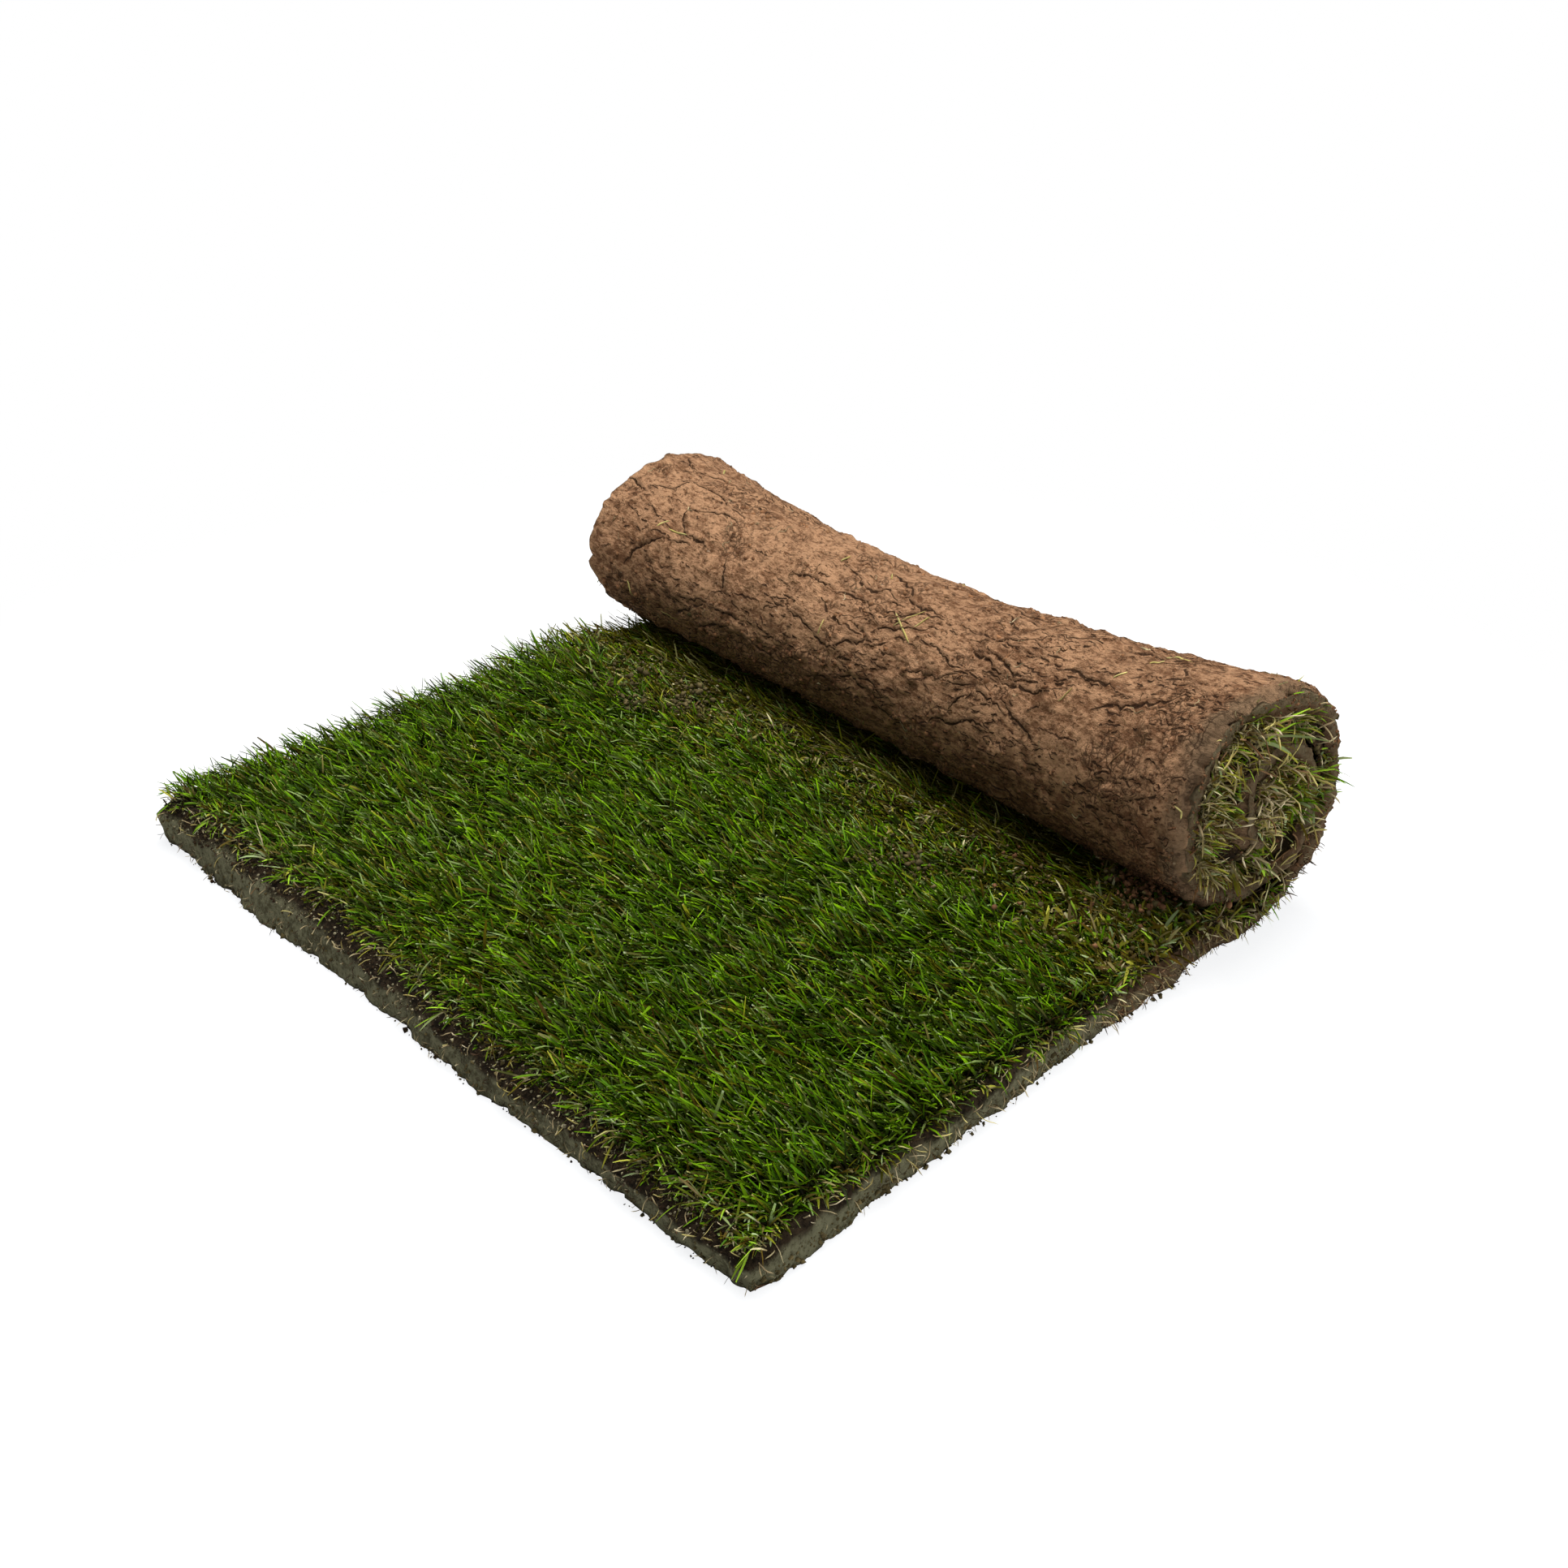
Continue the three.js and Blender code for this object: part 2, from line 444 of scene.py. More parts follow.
    def point(self, station: Array, share: Array, level: Array) -> Array:
        """A point of the strip in the object's frame.

        Args:
            station: place along the strip.
            share: place across it, 0 at the right cut edge.
            level: depth as a share of the soil's thickness.

        Returns:
            Points in mm, coordinates along the last axis.
        """
        station, share, level = np.broadcast_arrays(station, share, level)
        right, left, back = self.profile(level)
        y = self.place_across(station, share, (right, left))
        u = self.u(y)
        depth = level * self.soil(station, u)
        coil_x, coil_z = self.coil_point(np.maximum(self.turn(station), 0.0), u, depth)
        along = np.minimum(station / self.coil_start, 1.0)
        start = np.maximum(0.0, 1.0 - station / self.flat_steps) * (self.cut_back(y) + back)
        flat_x = self.flat_x(station, u) + start + self.coil_lean.at(u) * depth * along**2
        wound = station >= self.coil_start
        x = np.where(wound, coil_x, flat_x) - self.flat_length / 2.0
        return places(x, y, np.where(wound, coil_z, depth))

    def directions(self, station: Array, share: Array, level: Array) -> tuple[Array, Array, Array]:
        """The strip's own directions, from small differences.

        Args:
            station, share, level: as for point.

        Returns:
            Unit vectors along the strip, across it and into the grass.
        """
        low, high = np.maximum(station - 0.06, 0.0), np.minimum(station + 0.06, self.last)
        along = unit(self.point(high, share, level) - self.point(low, share, level))
        near, far = np.clip(share - 0.004, 0.0, 1.0), np.clip(share + 0.004, 0.0, 1.0)
        across = unit(self.point(station, far, level) - self.point(station, near, level))
        return along, across, unit(np.cross(along, across))

    @cached_property
    def _run_table(self) -> tuple[Array, Array]:
        """Measures the strip mid-width on the underside.

        Returns:
            Stations, and the length of strip up to each.
        """
        stations = np.linspace(0.0, self.last, 1500)
        steps = np.linalg.norm(np.diff(self.point(stations, 0.5, 0.0), axis=0), axis=1)
        return stations, np.concatenate([[0.0], np.cumsum(steps)])

    def run(self, station: Array) -> Array:
        """Length of strip from the cut end to a station, in mm."""
        return np.interp(station, *self._run_table)

    def station_at(self, run: Array) -> Array:
        """The station at a length of strip from the cut end."""
        stations, runs = self._run_table
        return np.interp(run, runs, stations)


# ------------------------------------------------------------------ node wiring


class Wiring:
    """Places nodes in one tree and links them. A value is a number or colour, or a socket to link."""

    def __init__(self, tree: bpy.types.NodeTree) -> None:
        """Starts with an empty tree."""
        self.tree = tree
        tree.nodes.clear()

    def add(self, kind: str, inputs: dict | None = None, **settings: object) -> Node:
        """Adds a shader node.

        Args:
            kind: the node's type name, without the part that all of them share.
            inputs: sockets by name or number, with their values.
            settings: the node's own properties.

        Returns:
            The node.
        """
        node = self.tree.nodes.new("ShaderNode" + kind)
        for name, value in settings.items():
            setattr(node, name, value)
        for name, value in (inputs or {}).items():
            self.feed(node.inputs[name], value)
        return node

    def feed(self, socket: Socket, value: object) -> None:
        """Links a socket to another, or sets its value.

        Args:
            socket: the input.
            value: an output to link, or a number or colour.
        """
        if isinstance(value, Socket):
            self.tree.links.new(value, socket)
        else:
            socket.default_value = value

    def math(self, operation: str, first: object, second: object = 0.0) -> Socket:
        """The result of a Math node."""
        return self.add("Math", {0: first, 1: second}, operation=operation).outputs[0]

    def plus(self, *terms: object) -> Socket:
        """The sum of the terms."""
        return reduce(partial(self.math, "ADD"), terms)

    def times(self, *factors: object) -> Socket:
        """The product of the factors."""
        return reduce(partial(self.math, "MULTIPLY"), factors)

    def most(self, first: object, second: object) -> Socket:
        """The greater of two."""
        return self.math("MAXIMUM", first, second)

    def vector(self, operation: str, first: object, second: object) -> Socket:
        """The result of a Vector Math node, whose second input is a number for SCALE."""
        name = "Scale" if operation == "SCALE" else 1
        return self.add("VectorMath", {0: first, name: second}, operation=operation).outputs[0]

    def fit(self, value: object, low: object, high: object, to: tuple = (0.0, 1.0)) -> Socket:
        """The value's share of the way from low to high, eased and spread over another range."""
        inputs = {"Value": value, "From Min": low, "From Max": high, "To Min": to[0], "To Max": to[1]}
        return self.add("MapRange", inputs, interpolation_type="SMOOTHSTEP").outputs[0]

    def noise(self, place: Socket, scale: float, detail: float = 3.0, rough: float = 0.55) -> Socket:
        """The strength of a noise texture at a place."""
        inputs = {"Vector": place, "Scale": scale, "Detail": detail, "Roughness": rough}
        return self.add("TexNoise", inputs).outputs["Fac"]

    def cells(self, place: Socket, scale: float, **settings: object) -> Socket:
        """The distance that a cell texture gives at a place."""
        return self.add("TexVoronoi", {"Vector": place, "Scale": scale}, **settings).outputs["Distance"]

    def shift(self, place: Socket, scale: float, amount: float, detail: float = 2.0) -> Socket:
        """The place moved about by a coloured noise, by up to half the amount each way.

        Args:
            place: coordinates.
            scale, detail: the noise's own.
            amount: how far the noise moves the place.

        Returns:
            The moved coordinates.
        """
        cloud = self.add("TexNoise", {"Vector": place, "Scale": scale, "Detail": detail}).outputs["Color"]
        centred = self.vector("SUBTRACT", cloud, (0.5, 0.5, 0.5))
        return self.vector("ADD", place, self.vector("SCALE", centred, amount))

    def mix(self, share: object, first: object, second: object, how: str = "MIX") -> Socket:
        """Two colours mixed, the second by share."""
        inputs = {0: share, 6: first, 7: second}
        return self.add("Mix", inputs, data_type="RGBA", blend_type=how).outputs[2]

    def ramp(self, share: Socket, marks: Stops, how: str = "CONSTANT") -> Socket:
        """A colour ramp.

        Args:
            share: where on the ramp, 0 to 1.
            marks: its stops.
            how: in steps, unless it is blended.

        Returns:
            The colour.
        """
        node = self.add("ValToRGB", {"Fac": share})
        node.color_ramp.interpolation = how
        points = node.color_ramp.elements
        points.remove(points[1])
        points[0].position, points[0].color = marks[0]
        for position, colour in marks[1:]:
            points.new(position).color = colour
        return node.outputs["Color"]

    def mark(self, name: str) -> Socket:
        """A number that the mesh carries at each corner."""
        return self.add("Attribute", attribute_name=name).outputs["Fac"]

    def seen_directly(self) -> Socket:
        """1 where the eye, a gloss or a clear body sees the surface, 0 for the light it gives others."""
        path = self.add("LightPath").outputs
        return self.most(path["Is Camera Ray"], self.most(path["Is Glossy Ray"], path["Is Transmission Ray"]))

    def choice(self, share: object, first: Node, second: Node) -> Node:
        """Two shaders mixed, the second by share."""
        return self.add("MixShader", {0: share, 1: first.outputs[0], 2: second.outputs[0]})

    def skin(self, looks: dict[str, Socket], roughness: float, specular: float) -> None:
        """The Principled surface of a finish, with its even values set on the shader itself.

        Args:
            looks: what changes over the surface, by socket name.
            roughness, specular: what doesn't.
        """
        constants = {"Roughness": roughness, "Specular IOR Level": specular}
        shader = self.add("BsdfPrincipled", {**looks, **constants})
        self.add("OutputMaterial", {"Surface": shader.outputs[0]})


class Effect:
    """A node group that finishes share: a subclass names its sockets and wires what goes between."""

    name = ""
    takes: dict[str, str] = {}
    gives: tuple[str, ...] = ()

    @classmethod
    def wire(cls, wires: Wiring, takes: Sockets) -> tuple[Socket, ...]:
        """Wires the group.

        Args:
            wires: the group's wiring.
            takes: what comes in, by name.

        Returns:
            What goes out, in the order of gives.
        """
        raise NotImplementedError

    @classmethod
    def build(cls) -> bpy.types.NodeTree:
        """Builds the group.

        Returns:
            Its tree, with the named sockets wired up.
        """
        tree = bpy.data.node_groups.new(cls.name, "ShaderNodeTree")
        wires = Wiring(tree)
        for name, kind in cls.takes.items():
            tree.interface.new_socket(name, in_out="INPUT", socket_type="NodeSocket" + kind)
        for name in cls.gives:
            tree.interface.new_socket(name, in_out="OUTPUT", socket_type="NodeSocketFloat")
        enter, leave = tree.nodes.new("NodeGroupInput"), tree.nodes.new("NodeGroupOutput")
        for name, result in zip(cls.gives, cls.wire(wires, enter.outputs)):
            wires.feed(leave.inputs[name], result)
        return tree

    @classmethod
    def put(cls, wires: Wiring, values: dict[str, object]) -> Sockets:
        """Places the group, which is built only once, in a finish.

        Args:
            wires: the finish's wiring.
            values: what goes in, by socket name.

        Returns:
            The group's outputs.
        """
        tree = bpy.data.node_groups.get(cls.name) or cls.build()
        return wires.add("Group", values, node_tree=tree).outputs


class EarthGrain(Effect):
    """Grain of earth: crumbs, pits and pale grit. Relief scales the height."""

    name = "earth_grain"
    takes = {"Place": "Vector", "Relief": "Float"}
    gives = ("Tone", "Grit", "Height")

    @classmethod
    def wire(cls, wires: Wiring, takes: Sockets) -> tuple[Socket, ...]:
        """Three noises make the tone and the height; cells dent the height and strew the grit.

        Args:
            wires: the group's wiring.
            takes: what comes in, by name.

        Returns:
            Tone, grit and height.
        """
        place = takes["Place"]
        broad = wires.noise(place, 24.0, 2.0)
        middle = wires.noise(place, 130.0, 2.0)
        fine = wires.noise(place, 330.0, 5.0, 0.75)
        crumb = wires.cells(wires.shift(place, 300.0, 0.003), 230.0)
        speck = wires.fit(wires.cells(place, 170.0), 0.16, 0.06)
        rare = wires.fit(wires.noise(place, 150.0, 2.0), 0.56, 0.66)
        tone = wires.plus(wires.times(broad, 0.15), wires.times(middle, 0.3), wires.times(fine, 0.55))
        # painted shade: the fine noise's low places are darkened, as micro-shadows in the grain
        pit_shade = wires.times(wires.fit(fine, 0.43, 0.33), 0.8)
        rough = wires.plus(wires.times(fine, 4.2), wires.times(middle, 2.6))
        height = wires.math("SUBTRACT", rough, wires.times(crumb, 1.2))
        tone = wires.math("SUBTRACT", wires.fit(tone, 0.4, 0.59), pit_shade)
        return tone, wires.times(speck, rare), wires.times(height, takes["Relief"])


class CrackNet(Effect):
    """Net of cracks, flakes and pits, long across the strip, and of clods for crumbled places.

    A flake's height is the saw-tooth of a noise: it climbs to a lip, then drops to a crack whose
    width comes and goes by another noise. Each layer gives the noise's scale, the crack's width
    as a share of a step, the drop in metres and how much stays bare. The place is in metres
    along the strip and across it. Crack and Pit are where painted shade darkens the colour.
    """

    name = "crack_net"
    takes = {"Place": "Vector"}
    gives = ("Crack", "Height", "Clod", "Pit")
    layers = ((95.0, 0.18, 0.0012, 0.54), (210.0, 0.26, 0.0007, 0.5))
    steps = 3.0
    # painted shade: how dark the cracks are drawn in colour
    darkness = 0.6
    depth = 0.0012

    @classmethod
    def wire(cls, wires: Wiring, takes: Sockets) -> tuple[Socket, ...]:
        """Two layers of flakes, a few fine dashes, and cells for the clods.

        Args:
            wires: the group's wiring.
            takes: what comes in, by name.

        Returns:
            Crack, height, clod and pit.
        """
        place = takes["Place"]
        long = wires.vector("MULTIPLY", place, (1.0, 0.42, 1.0))
        bent = wires.shift(wires.shift(long, 70.0, 0.012, 1.0), 330.0, 0.0035, 3.0)
        crack, level = 0.0, 0.0
        for scale, width, drop, bare in cls.layers:
            rise = wires.math("FRACT", wires.times(wires.noise(bent, scale, 1.0, 0.5), cls.steps))
            open_here = wires.noise(place, 1.7 * scale + 20.0, 1.0)
            reach = wires.fit(open_here, bare, bare + 0.2, (0.002, width))
            gap = wires.fit(wires.math("DIVIDE", rise, reach), 1.0, 0.5)
            lifted = wires.math("MINIMUM", wires.times(reach, 6.0), 1.0)
            level = wires.plus(level, wires.times(rise, lifted, drop))
            crack = wires.most(crack, wires.times(gap, cls.darkness))
        # fine dark dashes: painted shade, like the cracks
        dash = wires.times(wires.fit(wires.noise(long, 400.0, 3.0, 0.7), 0.44, 0.36), 0.75)
        some = wires.fit(wires.noise(place, 60.0, 2.0), 0.4, 0.58)
        crack = wires.most(crack, wires.times(dash, some))
        height = wires.math("SUBTRACT", level, wires.times(crack, cls.depth))
        crumb = wires.shift(place, 260.0, 0.004, 3.0)
        clod = wires.fit(wires.cells(crumb, 190.0), 0.62, 0.0)
        between = wires.cells(crumb, 190.0, feature="DISTANCE_TO_EDGE")
        return crack, height, clod, wires.fit(between, 0.13, 0.03)


class PaletteColumn(Effect):
    """What a palette's column decides: the kind of thing, and two random numbers of the column's own."""

    name = "palette_column"
    takes = {"Across": "Float"}
    gives = ("Kind", "Chance", "Draw")

    @classmethod
    def wire(cls, wires: Wiring, takes: Sockets) -> tuple[Socket, ...]:
        """The kind is the middle of the column, and white noise gives the numbers.

        Args:
            wires: the group's wiring.
            takes: what comes in, by name.

        Returns:
            Kind, chance and draw.
        """
        whole = wires.math("FLOOR", wires.times(takes["Across"], float(COLUMNS)))
        chance = wires.add("TexWhiteNoise", {"W": whole}, noise_dimensions="1D").outputs["Value"]
        draw = wires.math("FRACT", wires.times(chance, 7.31))
        return wires.math("DIVIDE", wires.plus(whole, 0.5), float(COLUMNS)), chance, draw


# ------------------------------------------------------------------ finishes


class Part(Enum):
    """The CAD node that a piece stands for, and the finish slot it takes."""

    SOIL = ("soil_mat", "soil")
    GRASS = ("grass_sward", "grass")


@dataclass(frozen=True)
class Finish:
    """What a surface looks like, and what it is part of. A subclass wires the nodes of its material."""

    name: str
    part: Part

    @cached_property
    def material(self) -> bpy.types.Material:
        """Makes the material, when a piece first takes it.

        Returns:
            The material.
        """
        material = bpy.data.materials.new(self.name)
        material.use_nodes = True
        self.wire(Wiring(material.node_tree))
        return material

    def wire(self, wires: Wiring) -> None:
        """Wires the finish into an empty tree.

        Args:
            wires: the material's wiring.
        """
        raise NotImplementedError


@dataclass(frozen=True)
class Earth(Finish):
    """Finish of an earthen surface: two tones, a dark for its cracks, pale grit and a smear.

    The mesh carries `tone` (lighter or darker), `crack` (how cracked or crumbled), `rooty` (how far
    into the darker soil under the sward) and `smear` (how much of the smear colour), each 0 to 1.
    A cracked one also carries `run` and `side`, its place on the strip in metres, and `gap`. The
    crack colour is painted shade, drawn into cracks, crevices, gaps, pits and the cut faces' foot.
    """

    pale: Colour
    deep: Colour
    # the crack colour is painted shade for cracks, crevices, gaps and pits
    crack: Colour
    grit: Colour
    smear: Colour
    upper_pale: Colour = srgb(66, 54, 40)
    upper_deep: Colour = srgb(30, 24, 17)
    cracked: bool = False
    relief: float = 0.0010
    clod_height: float = 0.0022
    roughness: float = 0.95
    specular: float = 0.08

    def wire(self, wires: Wiring) -> None:
        """Tones by grain and plate, darkened in cracks and speckled with grit.

        Args:
            wires: the material's wiring.
        """
        place = wires.add("TexCoord").outputs["Object"]
        if self.cracked:
            strip = wires.add("CombineXYZ", {"X": wires.mark("run"), "Y": wires.mark("side")}).outputs[0]
            place = wires.shift(wires.vector("MULTIPLY", strip, (1.0, 0.5, 1.0)), 60.0, 0.006)
        grain = EarthGrain.put(wires, {"Place": place, "Relief": self.relief})
        tone = wires.plus(wires.times(grain["Tone"], 0.65), wires.times(wires.mark("tone"), 0.35))
        height, dark = grain["Height"], wires.mark("crack")
        if self.cracked:
            net = CrackNet.put(wires, {"Place": strip})
            clods = wires.times(net["Clod"], dark, self.clod_height)
            height = wires.plus(height, net["Height"], clods)
            # painted shade between the clods, where the soil is crumbled
            pit_shade = wires.times(net["Pit"], dark, 0.8)
            dark = wires.most(pit_shade, wires.most(net["Crack"], wires.mark("gap")))
        colour = wires.mix(wires.fit(tone, 0.0, 0.85), self.deep, self.pale)
        upper = wires.mix(wires.fit(tone, 0.15, 0.85), self.upper_deep, self.upper_pale)
        colour = wires.mix(wires.mark("rooty"), colour, upper)
        colour = wires.mix(wires.mark("smear"), colour, self.smear)
        colour = wires.mix(wires.times(grain["Grit"], 0.8), colour, self.grit)
        # painted shade: cracks, crack gaps and pits take the crack colour, as if in shadow
        colour = wires.mix(wires.times(dark, 0.9), colour, self.crack)
        bump = wires.add("Bump", {"Height": height, "Strength": 1.0, "Distance": 1.0})
        wires.skin({"Base Color": colour, "Normal": bump.outputs[0]}, self.roughness, self.specular)


@dataclass(frozen=True)
class Palette(Finish):
    """Finish of many small like things, whose map places each in one of a number of columns.

    Along a column the colour runs from foot to tip; across the columns go the kinds, each with
    a share of the columns. A column's own random number lightens or darkens it, and a share of
    the columns has a tip of another colour, where the mower cut.
    """

    foot: Stops
    body: Stops
    tip: Stops = ()
    tip_start: float = 0.92
    cut_share: float = 0.3
    blend: tuple[float, float] = (0.2, 0.8)
    roughness: float = 0.55
    specular: float = 0.1
    spread: float = 1.0
    darkest: Colour = (0.34, 0.17, 0.1, 1.0)
    usual: Colour = (0.8, 0.8, 0.65, 1.0)
    brightest: Colour = (2.2, 2.25, 2.7, 1.0)

    def wire(self, wires: Wiring) -> None:
        """Ramps over the columns, blended from foot to tip.

        Args:
            wires: the material's wiring.
        """
        place = wires.add("UVMap", uv_map=BAKE_MAP).outputs[0]
        across, along, _ = wires.add("SeparateXYZ", {0: place}).outputs
        column = PaletteColumn.put(wires, {"Across": across})
        shades = ((0.0, self.darkest), (0.5, self.usual), (1.0, self.brightest))
        shade = wires.ramp(column["Chance"], shades, "LINEAR")
        lively = wires.mix(self.spread, wires.ramp(column["Kind"], self.body), shade, "MULTIPLY")
        colour = wires.mix(wires.fit(along, *self.blend), wires.ramp(column["Kind"], self.foot), lively)
        if self.tip:
            cut = wires.math("LESS_THAN", column["Draw"], self.cut_share)
            ending = wires.times(wires.fit(along, self.tip_start, self.tip_start + 0.09), cut)
            colour = wires.mix(ending, colour, wires.ramp(column["Kind"], self.tip))
        wires.skin({"Base Color": colour}, self.roughness, self.specular)


DRY_EARTH = Earth(
    name="dry_earth",
    part=Part.SOIL,
    pale=srgb(197, 152, 115),
    deep=srgb(119, 83, 58),
    crack=srgb(46, 30, 20),
    grit=srgb(212, 182, 150),
    smear=srgb(126, 106, 82),
    cracked=True,
)
CUT_EARTH = Earth(
    name="cut_earth",
    part=Part.SOIL,
    pale=srgb(142, 140, 110),
    deep=srgb(90, 86, 63),
    crack=srgb(36, 28, 20),
    grit=srgb(160, 150, 122),
    smear=srgb(132, 102, 76),
)
MATTED = Earth(
    name="matted_thatch",
    part=Part.GRASS,
    pale=srgb(114, 88, 62),
    deep=srgb(46, 35, 24),
    crack=srgb(20, 15, 9),
    grit=srgb(150, 136, 100),
    smear=srgb(90, 74, 52),
    relief=0.0016,
)
THATCH = Earth(
    name="thatch",
    part=Part.SOIL,
    pale=srgb(58, 46, 26),
    deep=srgb(28, 22, 12),
    crack=srgb(14, 11, 6),
    grit=srgb(120, 105, 72),
    smear=srgb(70, 60, 42),
    upper_pale=srgb(58, 46, 26),
    upper_deep=srgb(28, 22, 12),
)
GRASS_BLADES = Palette(
    name="grass_blades",
    part=Part.GRASS,
    # painted shade: the blades' near-black feet stand for the shade low in the dense sward
    foot=stops((0.0, 18, 17, 0), (0.74, 30, 24, 4), (0.9, 60, 50, 26)),
    body=stops(
        (0.0, 64, 98, 2),
        (0.16, 84, 117, 3),
        (0.34, 52, 85, 2),
        (0.5, 98, 135, 8),
        (0.62, 114, 133, 72),
        (0.74, 106, 109, 18),
        (0.9, 140, 136, 78),
    ),
    tip=stops((0.0, 160, 176, 96), (0.62, 178, 194, 150), (0.74, 176, 166, 96)),
    roughness=0.5,
    specular=0.06,
)
TUFT_BLADES = Palette(
    name="tuft_blades",
    part=Part.GRASS,
    foot=stops((0.0, 150, 136, 96), (0.62, 140, 130, 100), (0.9, 158, 142, 100)),
    body=stops(
        (0.0, 94, 132, 12),
        (0.3, 128, 160, 38),
        (0.62, 140, 156, 104),
        (0.74, 138, 136, 44),
        (0.9, 178, 170, 122),
    ),
    tip=stops((0.0, 150, 170, 90)),
    blend=(0.1, 0.5),
)
THREADS = Palette(
    name="roots_and_stems",
    part=Part.SOIL,
    foot=stops((0.0, 136, 120, 90), (0.4, 104, 78, 52), (0.7, 180, 168, 108), (0.85, 52, 38, 26)),
    body=stops((0.0, 208, 193, 152), (0.4, 146, 112, 78), (0.7, 198, 184, 112), (0.85, 72, 54, 38)),
    tip=stops((0.0, 200, 186, 150)),
    roughness=0.7,
    spread=0.5,
)
CRUMBS = Palette(
    name="earth_crumbs",
    part=Part.SOIL,
    foot=stops((0.0, 108, 76, 54), (0.4, 74, 66, 42), (0.7, 40, 30, 20), (0.9, 120, 114, 92)),
    body=stops((0.0, 140, 103, 75), (0.4, 110, 100, 70), (0.7, 62, 48, 34), (0.9, 176, 170, 142)),
    roughness=0.95,
    specular=0.1,
    spread=0.45,
    brightest=(2.1, 1.9, 1.6, 1.0),
)


# ------------------------------------------------------------------ meshes


@dataclass
class Shell:
    """A mesh before it is put into Blender: corners in mm, faces of four, and what is drawn on it."""

    points: Array
    faces: Array
    uv: Array
    marks: dict[str, Array] = field(default_factory=dict)

    @property
    def triangles(self) -> int:
        """How many triangles the faces make."""
        return 2 * len(self.faces)

    @classmethod
    def of(cls, points: Array, faces: Array, uv: Array, marks: dict[str, Array] | None = None) -> "Shell":
        """A shell from arrays of any number of axes, whose last ones are a corner's or a face's own.

        Args:
            points, faces, uv: coordinates, corner numbers and map places.
            marks: numbers at the corners, which broadcast to them.

        Returns:
            The shell.
        """
        size = points.shape[:-1]
        whole = {name: np.broadcast_to(mark, size).ravel() for name, mark in (marks or {}).items()}
        return cls(points.reshape(-1, 3), faces.reshape(-1, 4), uv.reshape(-1, 2), whole)


def grid_faces(rows: int, columns: int, turned: bool = False) -> Array:
    """Faces of a grid of rows by columns corners, turned over when asked.

    Args:
        rows: corners along the first direction.
        columns: corners along the second.
        turned: reverses the winding.

    Returns:
        Corner numbers, four a face.
    """
    corner = np.arange(rows * columns).reshape(rows, columns)
    loops = [corner[:-1, :-1], corner[1:, :-1], corner[1:, 1:], corner[:-1, 1:]]
    return np.stack(loops[::-1] if turned else loops, axis=-1).reshape(-1, 4)


def grid_map(rows: int, columns: int) -> Array:
    """Map places of a grid of corners, even along both directions."""
    across, along = np.meshgrid(np.linspace(0.0, 1.0, columns), np.linspace(0.0, 1.0, rows))
    return places(along, across)


def column_place(column: Array, part: Array | float) -> Array:
    """The map's place in a palette column, from one side of its middle (0) to the other (1)."""
    return (np.floor(column * COLUMNS) + 0.2 + 0.6 * part) / COLUMNS


@dataclass
class Workshop:
    """Puts shells into the scene as named pieces and keeps count of them."""

    triangles: int = 0

    def place(self, name: str, shell: Shell, finish: Finish) -> None:
        """Makes one piece, in metres, and has it ride on the object's body.

        Args:
            name: the piece's name.
            shell: its mesh in mm.
            finish: its finish, which knows the part it stands for.
        """
        mesh = bpy.data.meshes.new(name)
        mesh.vertices.add(len(shell.points))
        mesh.vertices.foreach_set("co", (shell.points * MM).astype(np.float32).ravel())
        mesh.loops.add(4 * len(shell.faces))
        mesh.loops.foreach_set("vertex_index", shell.faces.astype(np.int32).ravel())
        mesh.polygons.add(len(shell.faces))
        mesh.polygons.foreach_set("loop_start", np.arange(0, 4 * len(shell.faces), 4, dtype=np.int32))
        layer = mesh.uv_layers.new(name=BAKE_MAP)
        layer.uv.foreach_set("vector", shell.uv[shell.faces.ravel()].astype(np.float32).ravel())
        for mark, values in shell.marks.items():
            attribute = mesh.attributes.new(mark, "FLOAT", "POINT")
            attribute.data.foreach_set("value", values.astype(np.float32))
        mesh.update(calc_edges=True)
        mesh.shade_smooth()
        mesh.materials.append(finish.material)
        piece = bpy.data.objects.new(name, mesh)
        bpy.context.scene.collection.objects.link(piece)
        node, slot = finish.part.value
        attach(piece, "root")
        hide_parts(node)
        self.triangles += shell.triangles
        LOG.info("%-28s %7d triangles", name, shell.triangles)


# ------------------------------------------------------------------ soil


